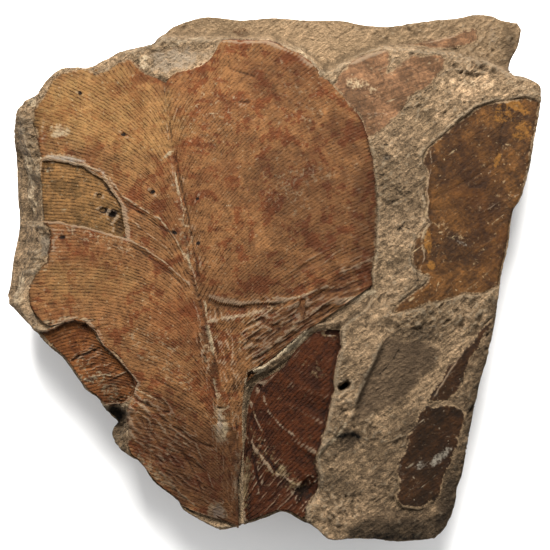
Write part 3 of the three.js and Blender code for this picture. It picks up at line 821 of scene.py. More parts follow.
def ragged(soft, crumbs, beads):
    """A soft blot given the broken edge of the surface's own crumbs."""
    broken = (soft + (crumbs - 0.5) * 1.5 + (beads - 0.5) * 0.9).between(0.40, 0.95)
    return broken * soft.between(0.0, 0.15)


def new_material(name):
    """A material, its shader, and wires for the place on the object and for a mark's number."""
    material = bpy.data.materials.new(name)
    material.use_nodes = True
    tree = material.node_tree
    shader = tree.nodes["Principled BSDF"]
    start = Wire(tree, None)
    place = start.node("TexCoord", out=3)

    def mark(which):
        return start.node("Attribute", {"attribute_name": which}, out=2)

    return material, shader, place, mark


def finish_material(shader, colour, roughness, height, bump_size):
    """Joins a surface's colour, roughness and fine relief to its shader."""
    tree = colour.tree
    tree.links.new(colour.socket, shader.inputs["Base Color"])
    tree.links.new(roughness.socket, shader.inputs["Roughness"])
    bump = height.node("Bump", (), {"Height": height, "Distance": bump_size, "Strength": 1.0})
    tree.links.new(bump.socket, shader.inputs["Normal"])
    shader.inputs["Specular IOR Level"].default_value = 0.08


def aged(colour, place, mark, crumbs, beads, tints, dust_look, relief_look):
    """A film's colour with its dust, its listed marks, its worn edge, a painted highlight on raised
    parts, painted shade in hollows, and broad painted shade and light.
    """
    dust_part, dust_full, dust_strength = dust_look
    rise_start, rise_strength, hollow_shade = relief_look
    dusty = place.grain(0.0012, 4.0, 0.65, 0.3) + mark("dust") * dust_part
    colour = colour.tinted(tints["pale"], dusty.between(0.60, dust_full) * dust_strength)
    # The dark tint also lays painted shade where its blots sit in pits, creases and under edges.
    for kind, tint in tints.items():
        colour = colour.tinted(tint, ragged(mark(kind), crumbs, beads))
    # Raised parts are painted lighter, a painted highlight, and parts below their surroundings darker,
    # painted shade.
    raised = mark("raised")
    colour = colour.tinted(paint("685948"), raised.between(rise_start, 1.0) * rise_strength)
    colour = colour.times(raised.between(-1.0, 0.0, hollow_shade, 1.0), 0.9)
    worn = mark("edge") * 0.8 + (crumbs - 0.5) * 2.0 + (beads - 0.5) * 0.6
    gritty = (beads + crumbs).between(0.8, 1.2).mixed(paint("362a1d"), paint("65543f"))
    colour = colour.tinted(gritty, worn.between(0.45, 0.85) * 0.85)
    # Painted shade makes its places darker and a little redder; painted light, taken off it, makes places
    # lighter.
    colour = colour.times(1.0 - mark("dim"), 1.0)
    return colour.tinted(paint("3a1a06"), mark("dim") * 0.3)


vein_contrast = 0.8


def film_material(name, groove, ridge, stain, pale, grit=1.0):
    """A film of leaf: dark grooves, lighter ridges, slow stains, flecks along the veins."""
    groove, ridge, stain, pale = (paint(code) for code in (groove, ridge, stain, pale))
    material, shader, place, mark = new_material(name)
    number, along, cell = mark("vein_number"), mark("along"), mark("vein_cell")
    beads = place.grain(0.00055, 3.0, 0.6)
    patches = place.grain(0.0042, 4.0, 0.6, 0.4)
    swing = number + (place.grain(0.0014, 3.0, 0.6) - 0.5) * 0.26
    fold = swing.sum("PINGPONG", swing, 0.5)
    forked_again = (fold - 0.25).sum("ABSOLUTE", fold - 0.25, 0.0)
    sunk = ((0.5 - fold) * cell).between(0.01, 0.20, 1.0, 0.0)
    for groove_way, width, fork in ((fold, 0.19, "fork"), (forked_again, 0.18, "fork_again")):
        more = (groove_way * cell).between(0.01, width, 1.0, 0.0) * mark(fork)
        sunk = sunk.sum("MAXIMUM", sunk, more)
    crumbs = place.grain(0.0017, 5.0, 0.7)
    clear = patches.between(0.34, 0.62, 1.0, 0.5) * crumbs.between(0.3, 0.66, 1.0, 0.55)
    vein = 1.0 - sunk * clear * (1.0 - mark("faint")) * vein_contrast
    lane = place.node("CombineXYZ", (), {0: number * 0.9, 1: along * 0.14, 2: 0.0})
    streak = lane.node("TexNoise", (), {"Vector": lane, "Scale": 2.4, "Detail": 4.0, "Roughness": 0.6})
    cloud = place.grain(0.014, 5.0, 0.62, 0.6)
    wash = place.grain(0.034, 2.0, 0.5)
    light = vein + (beads - 0.5) * 1.7 + (streak - 0.5) * 1.9
    colour = light.between(-0.1, 1.25).mixed(groove, ridge)
    colour = colour.tinted(stain, cloud.between(0.50, 0.66) * 0.5)
    blotch = place.grain(0.006, 6.0, 0.7, 0.3)
    colour = colour.tinted(stain, blotch.between(0.52, 0.57) * 0.85)
    colour = colour.tinted(ridge, blotch.between(0.44, 0.38) * 0.5)
    colour = colour.times(crumbs.between(0.30, 0.70, 0.72, 1.24), 0.9)
    colour = colour.times(patches.between(0.32, 0.66, 0.70, 1.12), 0.8)
    colour = colour.times(wash.between(0.3, 0.7, 0.84, 1.1), 0.8)
    flecks = streak.between(0.60, 0.72) * place.grain(0.0035, 3.0, 0.6).between(0.50, 0.66)
    colour = colour.tinted(pale, flecks * 0.65 * grit)
    specks = place.grain(0.0011, 2.0, 0.5).between(0.68, 0.76)
    colour = colour.tinted(pale, specks * 0.45 * grit)
    colour = colour.tinted(paint("160c07"), place.grain(0.0014, 3.0, 0.5, 0.3).between(0.30, 0.24) * 0.55)
    colour = colour.tinted(paint("6b5a34"), mark("veil") * light.between(0.0, 1.2))
    # The dark tint lays mostly painted shade: in pits, creases and under edges.
    tints = {"pale": pale, "grey": paint("635a50"), "dark": paint("150c07"), "ochre": paint("683d17")}
    colour = aged(colour, place, mark, crumbs, beads, tints, (0.19, 0.78, 0.62), (0.25, 0.55, 0.42))
    height = beads * 0.8 + streak * 0.6 + crumbs * 0.8 + patches * 0.8 + vein * 0.4
    finish_material(shader, colour, beads.between(0.2, 0.8, 0.62, 0.86), height, 0.00042)
    return material


def raised_parts(points, faces, rounds=6, full=0.12):
    """How far each point stands above (up to 1) or below (down to -1) what is around it."""
    small = [face for face in faces if len(face) < 5]
    pairs = np.array([(face[k], face[k - 1]) for face in small for k in range(len(face))])
    ends = np.concatenate([pairs, pairs[:, ::-1]])
    share = np.bincount(ends[:, 0], minlength=len(points)) + tiny
    level = points[:, 2]
    for _ in range(rounds):
        level = np.bincount(ends[:, 0], level[ends[:, 1]], len(points)) / share
    return np.clip((points[:, 2] - level) / full, -1, 1)


def blots(x, y, marks):
    """Soft blots: each mark is a place, two half widths, a turn in degrees and a strength."""
    total = np.zeros(x.shape)
    shift = 0.8 * rough(x, y, 3.0, 41, 3)
    for place, half_x, half_y, turn, strength in marks:
        (px, py), = spots(place)
        c, s = math.cos(math.radians(turn)), math.sin(math.radians(turn))
        u = ((x - px) * c + (y - py) * s) / half_x
        v = ((y - py) * c - (x - px) * s) / half_y
        total = np.maximum(total, strength * smooth(-np.hypot(u, v) + shift * 0.6, -1.15, -0.45))
    return total


def surface_marks(x, y, marks):
    """The blots of each kind on a film, with painted shade along the face's sunken creases and pale lines
    along its raised ones, partly pale rims and partly painted highlight.
    """
    kinds = ("pale", "grey", "dark", "ochre", "dust", "veil", "faint", "dim", "painted_light")
    shown = {kind: blots(x, y, dict(marks).get(kind, ())) for kind in kinds}
    # The painted light is taken off the painted shade, so one mark darkens or lightens.
    shown["dim"] = shown["dim"] - shown.pop("painted_light")
    patchy = 0.75 + 0.5 * rough(x, y, 1.6, 43, 3)
    # Sunken creases get dark strokes of painted shade; raised ones get pale strokes, part pale rim and
    # part painted highlight.
    for line, width, rise in creases:
        off, _ = beside(x, y, line, 3 * width)
        stroke = patchy * bell(off, 0.62 * width)
        kind = "pale" if rise > 0 else "dark"
        shown[kind] = np.maximum(shown[kind], stroke * min(1.9 * abs(rise), 0.85))
    return shown


pockets = []
patch_cut = 0.75           # how far the main leaf dips below the leaf in the sunken patch
fine_relief = 0.10
brim_drop = 0.22           # how far a film's worn edge sinks into the rock


def face_outwards(piece):
    edit = bmesh.new()
    edit.from_mesh(piece.data)
    bmesh.ops.recalc_face_normals(edit, faces=edit.faces)
    edit.to_mesh(piece.data)
    edit.free()


def set_film(name, outline, points, faces, material, shown):
    """Puts a film in the place of its CAD node and keeps its outline for the pocket in the rock."""
    piece = make_piece(name + "_film", points, faces, material, shown)
    face_outwards(piece)
    pockets.append(outline)
    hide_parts(name)
    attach(piece, "root")
    return piece


def lay_film(name, outline, halves, material, marks):
    """Makes one film from its half fans, on the split face."""
    heights, brims, edges = [], [], []
    for rows, ridge, _ in halves:
        x, y = rows[..., 0], rows[..., 1]
        fine = fine_relief * rough(x, y, 3.2, 51, 3)
        within = inside(x, y, outline)
        brims.append(brim_drop * smooth(-within, -0.45, 0.2))
        patchy_edge = smooth(rough(x, y, 9.0, 53, 2), -0.25, 0.25)
        edges.append((smooth(-within, -1.1, 0.0) * patchy_edge).ravel())
        heights.append(split_face(x, y) + vein_height * ridge + fine - brims[-1])
    if name == "main_leaf":
        for (rows, _, _), height in zip(halves, heights):
            patch = inside(rows[..., 0], rows[..., 1], patch_outline)
            height -= patch_cut * smooth(patch, -0.15, 0.15)
    points, faces = film_mesh(halves, heights)
    x, y = points[:, 0], points[:, 1]
    tops = sum(rows.shape[0] * rows.shape[1] for rows, _, _ in halves)
    pad = np.zeros(len(points) - tops)
    unworn = points[:tops].copy()
    unworn[:, 2] += np.concatenate([brim.ravel() for brim in brims])
    top_faces = [face for face in faces if max(face) < tops]
    shown = {
        "raised": np.concatenate([raised_parts(unworn, top_faces), pad]),
        "edge": np.concatenate([*edges, pad]),
    }
    for kind in halves[0][2]:
        shown[kind] = np.concatenate([looks[kind].ravel() for _, _, looks in halves] + [pad])
    lengths = [
        np.cumsum(np.hypot(*np.moveaxis(np.diff(rows, axis=1, prepend=rows[:, :1]), -1, 0)), axis=1)
        for rows, _, _ in halves
    ]
    shown["along"] = np.concatenate([length.ravel() for length in lengths] + [pad])
    shown.update(surface_marks(x, y, marks))
    return set_film(name, outline, points, faces, material, shown)


warm_film = film_material("warm_film", "2a1507", "583b21", "42200c", "6d5f4a")
main_marks = {
    "pale": [
        ((168, 153), 2.6, 0.7, 40, 0.85), ((58, 132), 3.0, 2.0, 20, 0.7), ((225, 427), 1.3, 4.8, -8, 1.1),
        ((223, 512), 2.2, 2.6, 0, 0.7), ((211, 340), 0.8, 8.0, 12, 0.9), ((185, 245), 0.5, 12.0, 12, 0.9),
        ((175, 178), 0.5, 6.5, 12, 0.9), ((216, 385), 0.7, 6.0, 10, 0.8), ((206, 312), 0.6, 4.0, 5, 0.8),
        ((228, 205), 1.8, 0.4, 0, 0.7), ((210, 112), 3.2, 0.5, 4, 0.6), ((218, 76), 2.4, 0.4, 42, 0.5),
        ((281, 58), 0.9, 3.0, 20, 0.5), ((213, 250), 1.2, 2.2, 10, 0.4), ((320, 195), 3.4, 0.5, 62, 0.35),
        ((328, 232), 3.0, 0.4, 40, 0.4),
    ],
    "grey": [
        ((219, 511), 2.4, 3.0, 0, 0.8), ((220, 424), 1.6, 6.5, -6, 0.6), ((58, 326), 6.5, 0.8, 10, 0.6),
        ((66, 158), 8.0, 0.8, -10, 0.8), ((100, 170), 2.4, 0.7, -35, 0.7), ((92, 98), 2.4, 1.8, 20, 0.35),
        ((123, 108), 1.2, 1.0, 0, 0.3), ((150, 108), 0.8, 2.2, 20, 0.4),
    ],
    # Dark blots: painted shade in the pits and in the shadow under the fold's step.
    "dark": [
        ((94, 71), 1.0, 0.8, 0, 0.8), ((152, 191), 0.8, 0.7, 0, 1.4), ((122, 133), 0.9, 0.7, 0, 1.0),
        ((78, 91), 0.6, 0.6, 0, 1.3), ((62, 237), 1.2, 0.7, 10, 1.0), ((174, 232), 1.0, 0.7, -20, 1.3),
        ((197, 198), 0.6, 0.6, 0, 1.4), ((198, 243), 0.6, 0.6, 0, 1.4), ((303, 309), 0.9, 1.7, 20, 1.2),
        ((230, 302), 6.0, 0.4, -8, 0.6), ((238, 40), 2.4, 0.5, 20, 0.35), ((244, 100), 2.4, 0.5, 40, 0.4),
    ],
    "ochre": [((94, 64), 2.2, 0.6, 10, 0.4), ((366, 146), 0.5, 1.6, 10, 0.4)],
    # Painted shade: darker over the base and lower part, the right half and its margin, the fold, and
    # under the lip of the sunken patch.
    "dim": [
        ((205, 470), 16.0, 18.0, 30, 0.6), ((150, 440), 12.0, 8.0, -45, 0.45),
        ((222, 520), 12.0, 8.0, 0, 0.6), ((175, 420), 11.0, 9.0, -40, 0.4),
        ((366, 225), 5.5, 26.0, 0, 0.48), ((345, 130), 7.0, 9.0, 30, 0.42),
        ((290, 330), 16.0, 8.0, 35, 0.4), ((285, 80), 15.0, 9.0, -20, 0.3),
        ((310, 205), 17.0, 28.0, 20, 0.34), ((270, 275), 22.0, 9.0, 20, 0.3),
        ((100, 158), 12.0, 3.0, -15, 0.2), ((335, 290), 11.0, 5.0, 25, 0.42),
    ],
    "faint": [
        ((285, 170), 30.0, 34.0, 0, 0.55), ((250, 80), 20.0, 14.0, 0, 0.45),
        ((225, 470), 9.0, 18.0, 0, 0.5),
    ],
    "veil": [
        ((85, 108), 22.0, 14.0, -10, 0.26), ((130, 120), 16.0, 16.0, 0, 0.2),
        ((85, 280), 16.0, 8.0, 0, 0.15),
    ],
    # Painted light: lighter at the upper left and beside the lower midrib.
    "painted_light": [
        ((80, 102), 15.0, 10.0, -10, 0.25), ((130, 118), 14.0, 12.0, -10, 0.14),
        ((130, 185), 9.0, 7.0, -35, 0.15), ((225, 360), 4.0, 12.0, 0, 0.2),
    ],
    "dust": [
        ((221, 424), 2.6, 7.5, -6, 1.6), ((207, 345), 2.6, 8.5, 10, 0.75),
        ((184, 225), 2.0, 16.0, 13, 0.55), ((240, 480), 2.4, 9.0, 0, 1.2), ((216, 510), 3.6, 4.0, 0, 1.5),
        ((285, 185), 9.0, 4.5, 35, 0.5), ((318, 175), 7.0, 4.0, 10, 0.6), ((300, 200), 5.0, 6.0, 40, 0.5),
        ((150, 345), 9.0, 6.0, -30, 0.45), ((180, 375), 9.0, 4.0, -35, 0.5),
        ((140, 400), 6.0, 3.0, -35, 0.6), ((165, 440), 8.0, 10.0, -40, 0.45),
        ((265, 320), 9.0, 5.0, 10, 0.55), ((250, 345), 8.0, 8.0, 45, 0.4),
        ((205, 115), 14.0, 10.0, 0, 0.3), ((300, 95), 12.0, 9.0, -30, 0.35),
        ((60, 130), 4.0, 3.0, 0, 1.0), ((66, 160), 8.0, 2.2, -12, 1.2), ((100, 240), 14.0, 2.4, -14, 0.6),
        ((155, 470), 12.0, 2.0, -42, 1.0), ((345, 285), 9.0, 2.4, 20, 0.2), ((60, 322), 9.0, 1.6, 5, 0.9),
        ((128, 435), 2.6, 3.4, 0, 1.2), ((330, 330), 4.0, 1.6, 0, 1.2),
    ],
}
main_halves = [fan(veins, main_outline, 98, from_midrib=True) for veins in (left_veins, right_veins)]
main_film = lay_film("main_leaf", main_outline, main_halves, warm_film, main_marks)


# The leaf layer under the main leaf shows where a flake has come off at the left: a smoother
# olive brown film, a little lower, whose veins run straight across the sunken patch.
under_veins = [
    spots((112, 172), (85, 162), (60, 157), (32, 156)),
    spots((126, 190), (100, 178), (70, 172), (32, 170)),
    spots((130, 206), (100, 193), (70, 187), (32, 185)),
    spots((131, 222), (100, 208), (70, 203), (32, 201)),
    spots((132, 236), (100, 223), (70, 217), (32, 215)),
    spots((133, 248), (100, 238), (70, 231), (32, 228)),
]
under_outline = patch_outline + 0.45 * np.sign(patch_outline - patch_outline.mean(0))
olive_film = film_material("olive_film", "24170c", "593f22", "3a2914", "685e4a")
under_marks = {
    "grey": [((48, 168), 1.2, 1.0, 0, 0.5), ((97, 195), 0.9, 0.7, 0, 0.4)],
    # Dark blots: painted shade in the hollows of the sunken patch.
    "dark": [
        ((98, 195), 0.9, 0.8, 0, 1.3), ((103, 210), 1.4, 0.9, 20, 1.2), ((112, 213), 1.8, 1.3, 0, 1.2),
        ((119, 226), 1.3, 2.8, 0, 0.6), ((108, 190), 0.6, 3.4, 35, 0.8),
    ],
    "pale": [((46, 170), 0.9, 0.8, 0, 0.7)],
}
under_halves = [fan(under_veins, under_outline, 70, forks=2, rows_each=8)]
under_film = lay_film("under_leaf", under_outline, under_halves, olive_film, under_marks)


# The crumpled layer below the lip at the lower left: a warm brown film of leaf on the next bed
# down, pressed into folds along its veins and broken across by open cracks.
lower_left_outline = spots(
    (40, 332), (55, 327), (66, 320), (80, 318), (98, 328), (108, 345), (120, 358), (134, 370), (144, 380),
    (140, 392), (130, 402), (112, 406), (100, 401), (90, 392), (80, 379), (70, 364), (60, 352), (50, 343),
)
lower_left_veins = [
    spots((120, 344), (95, 322), (70, 316), (34, 330)),
    spots((130, 352), (105, 338), (78, 330), (42, 342)),
    spots((142, 364), (112, 352), (84, 344), (50, 352)),
    spots((150, 376), (118, 366), (90, 360), (58, 366)),
    spots((152, 390), (124, 380), (98, 376), (70, 382)),
    spots((150, 402), (126, 396), (104, 393), (80, 398)),
    spots((146, 412), (126, 410), (108, 410), (92, 412)),
]
crumpled_film = film_material("crumpled_film", "1e0e05", "523015", "341906", "655c48")
lower_left_marks = {
    "dust": [
        ((95, 378), 6.0, 3.0, 10, 0.8), ((115, 392), 5.0, 3.0, -20, 0.8), ((84, 362), 4.0, 3.0, 0, 0.5),
    ],
    "grey": [((92, 378), 3.0, 0.8, 12, 0.6), ((84, 366), 3.6, 2.2, 10, 0.25)],
    # Painted shade in the hollow at the lower end.
    "dim": [((114, 393), 7.0, 4.0, -20, 0.35)],
    # Dark blots: painted shade under the lip, along the crack and in the hollow.
    "dark": [
        ((60, 336), 5.5, 1.6, 30, 0.55), ((88, 329), 3.6, 0.9, -12, 0.5), ((117, 404), 3.4, 1.6, 0, 0.7),
        ((85, 354), 4.0, 0.45, 22, 0.8),
    ],
}
lower_left_halves = [fan(lower_left_veins, lower_left_outline, 70, forks=2, rows_each=8)]
lower_left_film = lay_film(
    "lower_left_leaf", lower_left_outline, lower_left_halves, crumpled_film, lower_left_marks,
)


# The lower leaf: a darker red brown leaf that comes out from under the pale broken band. Its
# veins rise from the base of the block and bend out to the right.
lower_outline = spots(
    (318, 331), (330, 330), (340, 331), (341, 347), (336, 362), (334, 377), (334, 390), (330, 405),
    (326, 426), (322, 439), (317, 456), (317, 468), (319, 474), (318, 486), (312, 498), (306, 506),
    (306, 519), (298, 516), (286, 511), (276, 511), (262, 516), (243, 523), (243, 500), (243, 470),
    (243, 440), (244, 410), (247, 390), (254, 376), (268, 370), (284, 360), (298, 348), (308, 338),
)
lower_veins = [
    spots((246, 438), (247, 414), (251, 394), (257, 382), (269, 376), (286, 366), (301, 353), (321, 335)),
    spots((244, 452), (250, 420), (262, 394), (284, 366), (312, 328)),
    spots((244, 470), (252, 434), (270, 404), (298, 372), (340, 326)),
    spots((243, 488), (254, 452), (276, 418), (306, 386), (346, 350)),
    spots((243, 500), (258, 468), (284, 434), (312, 406), (344, 378)),
    spots((243, 510), (262, 482), (288, 452), (312, 428), (340, 404)),
    spots((244, 516), (266, 495), (290, 470), (312, 449), (334, 428)),
    spots((246, 521), (268, 506), (290, 486), (310, 468), (330, 450)),
    spots((252, 524), (272, 514), (290, 500), (308, 485), (328, 468)),
    spots((262, 526), (278, 520), (294, 510), (308, 499), (326, 486)),
    spots((280, 528), (290, 524), (300, 518), (310, 511), (324, 502)),
]
red_film = film_material("red_film", "160701", "2f1404", "1f0b02", "51442f", grit=0.45)
lower_marks = {
    "dust": [
        ((245, 480), 2.4, 9.0, 0, 1.2), ((265, 455), 4.0, 8.0, 38, 0.55), ((284, 470), 3.0, 2.4, 0, 1.0),
        ((298, 486), 4.4, 2.4, -15, 1.0), ((318, 372), 3.0, 3.4, 0, 0.5), ((330, 334), 2.6, 1.6, 0, 1.2),
    ],
    "pale": [
        ((244, 485), 1.2, 5.0, 0, 0.7), ((259, 452), 1.6, 5.2, 38, 0.5), ((282, 467), 1.3, 1.1, 0, 0.9),
        ((296, 484), 3.0, 1.2, -15, 0.5), ((246, 425), 0.8, 3.0, -20, 0.5),
    ],
    "grey": [
        ((318, 372), 2.0, 2.4, 0, 0.22), ((330, 334), 2.0, 1.2, 0, 0.6), ((310, 385), 2.4, 1.2, 30, 0.15),
    ],
    # Dark blots: mostly painted shade in the pits, the largest at the lobe near the base.
    "dark": [
        ((304, 492), 4.2, 3.8, 0, 0.85), ((318, 482), 1.8, 3.2, 0, 0.8), ((261, 386), 0.5, 0.5, 0, 0.9),
        ((262, 443), 0.6, 0.5, 0, 0.9), ((276, 500), 4.0, 1.2, 20, 0.35),
    ],
    "ochre": [((264, 460), 1.4, 5.4, 35, 0.35), ((302, 513), 4.0, 1.4, 0, 0.15)],
}
lower_halves = [fan(lower_veins, lower_outline, 90, forks=4, rows_each=5, gap=1.1)]
lower_film = lay_film("lower_leaf", lower_outline, lower_halves, red_film, lower_marks)


def torn(outline, size):
    """An outline with a torn edge, which strays by up to about size."""
    line = eased(outline, 0.9, closed=True)
    shift = [size * rough(line[:, 0], line[:, 1], 3.2, seed, 3) for seed in (62, 65)]
    return line + np.stack(shift, 1)


flat_film_bumps = 0.12
flat_film_growth = 0.3     # how far a film runs on under the rock's edge
flat_film_shake = 0.25
flat_brim_drop = 0.25
low_gap = 2.0              # between the points of the coarse underside


def lay_flat_film(name, outline, fine, material, marks=()):
    """Makes one film with no strong veins: an even sheet over its outline, closed underneath."""
    loop = eased(outline, fine * 1.2, closed=True)
    turn = np.roll(loop, -1, axis=0) - np.roll(loop, 1, axis=0)
    outward = np.stack([-turn[:, 1], turn[:, 0]], 1) / np.hypot(*turn.T)[:, None]
    outward *= np.sign((outward * (loop - loop.mean(0))).sum())
    shake = flat_film_shake * rough(loop[:, 0], loop[:, 1], 1.6, 61, 3)
    loop = loop + outward * (flat_film_growth + shake)[:, None]
    over = np.maximum(0.4 - inside(loop[:, 0], loop[:, 1], rim_outline), 0)
    loop = loop * (1 - over / np.hypot(*loop.T))[:, None]
    flat, faces, count = pave(loop, fine)
    low, low_faces, _ = pave(loop, low_gap)
    level = split_face(*flat.T) + flat_film_bumps * rough(*flat.T, 2.4, 52, 4)
    raised = raised_parts(np.column_stack([flat, level]), faces)
    level -= flat_brim_drop * smooth(-inside(*flat.T, loop), -0.7, 0.0)
    low_level = split_face(*low.T) - film_depth
    points = np.concatenate([np.column_stack([flat, level]), np.column_stack([low, low_level])])
    first = len(flat)
    faces = faces + [tuple(first + k for k in face) for face in low_faces]
    ring = np.arange(count)
    after = (ring + 1) % count
    faces += [tuple(side) for side in np.stack([ring, after, first + after, first + ring], 1).tolist()]
    x, y = points[:, 0], points[:, 1]
    shown = {
        "raised": np.concatenate([raised, np.zeros(len(low))]),
        "edge": smooth(-inside(x, y, outline), -1.3, 0.0),
    }
    shown.update(surface_marks(x, y, marks))
    return set_film(name, outline, points, faces, material, shown)


def smooth_film_material(name, base, deep, fleck, turn, ochre_part=0.0):
    """A film whose veins hardly show: faint lines one way, slow stains and fine pale scratches."""
    base, deep, fleck = (paint(code) for code in (base, deep, fleck))
    material, shader, place, mark = new_material(name)
    lane = place.stretched((9.0, 1.0, 1.0), turn)
    lines = lane.grain(0.00075, 4.0, 0.6)
    beads = place.grain(0.0006, 4.0, 0.6)
    crumbs = place.grain(0.0017, 5.0, 0.7)
    cloud = place.grain(0.009, 6.0, 0.68, 0.5)
    patches = place.grain(0.0035, 4.0, 0.6, 0.4)
    colour = cloud.between(0.36, 0.66).mixed(deep, base)
    colour = colour.times((lines + beads).between(0.72, 1.28, 0.60, 1.32), 1.0)
    colour = colour.times(crumbs.between(0.30, 0.70, 0.72, 1.26), 0.9)
    colour = colour.times(patches.between(0.3, 0.7, 0.72, 1.15), 0.85)
    stain = place.grain(0.017, 4.0, 0.6, 1.2).between(0.53, 0.66)
    colour = colour.tinted(paint("593411"), stain * ochre_part)
    long_scratch = lane.grain(0.0016, 3.0, 0.6).between(0.63, 0.72)
    scratch = long_scratch * place.grain(0.005, 3.0, 0.6).between(0.5, 0.62)
    colour = colour.tinted(fleck, scratch * 0.6)
    specks = place.grain(0.0010, 2.0, 0.5).between(0.69, 0.77)
    colour = colour.tinted(fleck, specks * 0.5)
    colour = colour.tinted(paint("0d0805"), place.grain(0.0019, 3.0, 0.5, 0.3).between(0.31, 0.25) * 0.5)
    # The dark tint lays mostly painted shade: in pits, creases and under edges.
    tints = {"pale": fleck, "grey": paint("5c564c"), "dark": paint("100a06"), "ochre": paint("583a16")}
    colour = aged(colour, place, mark, crumbs, beads, tints, (0.17, 0.80, 0.5), (0.3, 0.5, 0.6))
    height = lines * 0.6 + beads * 0.6 + crumbs * 0.8 + patches * 0.8
    finish_material(shader, colour, beads.between(0.2, 0.8, 0.58, 0.84), height, 0.0004)
    return material


# The upper leaf: a mauve brown film above and to the right of the main leaf, which a pale tongue
# of rock covers at its back.
upper_outline = spots(
    (332, 83), (336, 79), (341, 69), (349, 63), (357, 53), (367, 50), (382, 47), (390, 49), (392, 58),
    (389, 69), (395, 67), (403, 61), (415, 51), (421, 53), (429, 52), (436, 51), (443, 53), (447, 59),
    (445, 66), (436, 77), (429, 85), (414, 93), (409, 99), (402, 107), (395, 118), (385, 126), (377, 132),
    (368, 134), (364, 123), (359, 113), (351, 104), (343, 94),
)
mauve_film = smooth_film_material("mauve_film", "61452f", "3e2b1b", "82735a", 20)
upper_marks = {
    "pale": [
        ((358, 82), 4.6, 2.2, -15, 0.6), ((376, 90), 5.0, 1.2, -30, 0.5), ((407, 62), 1.6, 0.9, -30, 0.5),
        ((350, 112), 1.2, 4.0, -25, 0.4),
    ],
    "grey": [((378, 112), 4.6, 0.8, 2, 0.5), ((412, 64), 2.6, 1.2, -30, 0.35)],
    "dark": [
        ((364, 91), 4.5, 0.5, -15, 0.45), ((386, 103), 3.0, 0.5, -25, 0.4),
        ((337, 92), 0.6, 3.2, 15, 0.3),
    ],
}
upper_film = lay_flat_film("upper_leaf", torn(upper_outline, 0.7), 0.34, mauve_film, upper_marks)


# The right leaf: a long dark brown film on the right shoulder, stained with ochre at its back,
# scratched and creased, with a thin pale line of rock down its left edge.
right_outline = spots(
    (541, 101), (533, 98), (526, 96), (512, 99), (496, 100), (488, 102), (477, 108), (461, 119),
    (447, 131), (435, 142), (427, 150), (424, 162), (428, 172), (425, 191), (427, 200), (424, 216),
    (428, 223), (418, 234), (413, 248), (412, 262), (419, 272), (428, 278), (421, 288), (405, 298),
    (396, 305), (392, 312), (405, 311), (415, 308), (436, 301), (451, 298), (463, 294), (478, 294),
    (490, 290), (500, 284), (504, 262), (509, 240), (511, 224), (516, 208), (521, 198), (529, 171),
    (534, 143), (539, 120),
)
dark_film = smooth_film_material("dark_film", "261507", "170c03", "6f6453", 38)
shoulder_film = smooth_film_material("shoulder_film", "442b12", "251609", "837155", 36, ochre_part=0.16)
right_marks = {
    "dust": [
        ((424, 215), 1.6, 12.0, 0, 1.2), ((455, 232), 8.0, 2.6, -22, 0.55),
        ((495, 160), 9.0, 2.0, 40, 0.4), ((500, 200), 9.0, 2.0, 25, 0.4),
        ((490, 245), 10.0, 2.0, 50, 0.3),
    ],
    # Painted shade over the middle of the leaf.
    "dim": [((478, 200), 9.0, 26.0, 10, 0.25)],
    "ochre": [
        ((518, 104), 6.0, 2.4, -25, 0.75), ((524, 130), 3.6, 3.4, 20, 0.7),
        ((506, 112), 4.2, 5.0, 20, 0.6), ((489, 118), 3.0, 1.6, 30, 0.4), ((428, 240), 1.6, 4.6, 0, 0.8),
        ((431, 266), 2.0, 1.6, 0, 0.8), ((498, 160), 1.2, 3.4, -25, 0.8),
        ((470, 214), 4.0, 1.0, -10, 0.3), ((505, 222), 1.0, 5.0, 10, 0.25),
    ],
    "grey": [
        ((462, 243), 3.4, 0.9, -25, 0.5), ((475, 247), 4.0, 0.5, 0, 0.45),
        ((446, 236), 3.0, 0.8, -25, 0.3), ((490, 172), 2.0, 0.7, 45, 0.4),
    ],
    "pale": [
        ((505, 181), 1.0, 0.5, 60, 0.5), ((516, 196), 3.2, 0.3, 28, 0.5),
        ((488, 222), 1.4, 0.3, -50, 0.5), ((437, 287), 0.3, 3.0, -15, 0.5),
        ((453, 286), 2.0, 0.3, -45, 0.4),
    ],
    # Dark blots: mostly painted shade along the creases and under the rock's edge at the back.
    "dark": [
        ((535, 122), 2.6, 6.0, 15, 0.45), ((503, 128), 0.8, 6.5, -8, 0.5),
        ((458, 195), 7.0, 0.8, 28, 0.35), ((446, 210), 4.0, 0.7, 0, 0.45), ((520, 148), 3.0, 2.4, 0, 0.4),
        ((426, 252), 0.7, 5.0, 0, 0.3), ((480, 104), 4.0, 0.5, 30, 0.6), ((512, 101), 5.0, 0.5, 0, 0.6),
    ],
}
right_film = lay_flat_film("right_leaf", torn(right_outline, 0.6), 0.34, shoulder_film, right_marks)


# Two dark films at the lower right, a narrow strip and a broad broken piece, and a brown film on
# the back ledge. All three are scraps of other leaves.
strip_outline = spots(
    (494, 317), (480, 330), (468, 344), (454, 360), (446, 368), (440, 379), (431, 391), (427, 400),
    (436, 403), (447, 400), (457, 393), (463, 380), (466, 367), (474, 354), (482, 340), (492, 324),
)
corner_outline = spots(
    (426, 404), (419, 416), (412, 425), (407, 436), (405, 448), (400, 458), (397, 470), (399, 482),
    (396, 494), (402, 505), (416, 508), (428, 503), (437, 494), (442, 480), (448, 464), (455, 448),
    (457, 436), (463, 424), (466, 412), (457, 406), (447, 405), (436, 406),
)
ledge_outline = spots(
    (398, 38), (401, 36), (420, 35), (431, 31), (447, 29), (466, 24), (480, 20), (483, 27), (481, 34),
    (472, 38), (451, 41), (434, 42), (420, 39),
)
strip_marks = {"grey": [((455, 385), 3.0, 1.4, 45, 0.3)], "pale": [((478, 336), 0.5, 2.6, -40, 0.25)]}
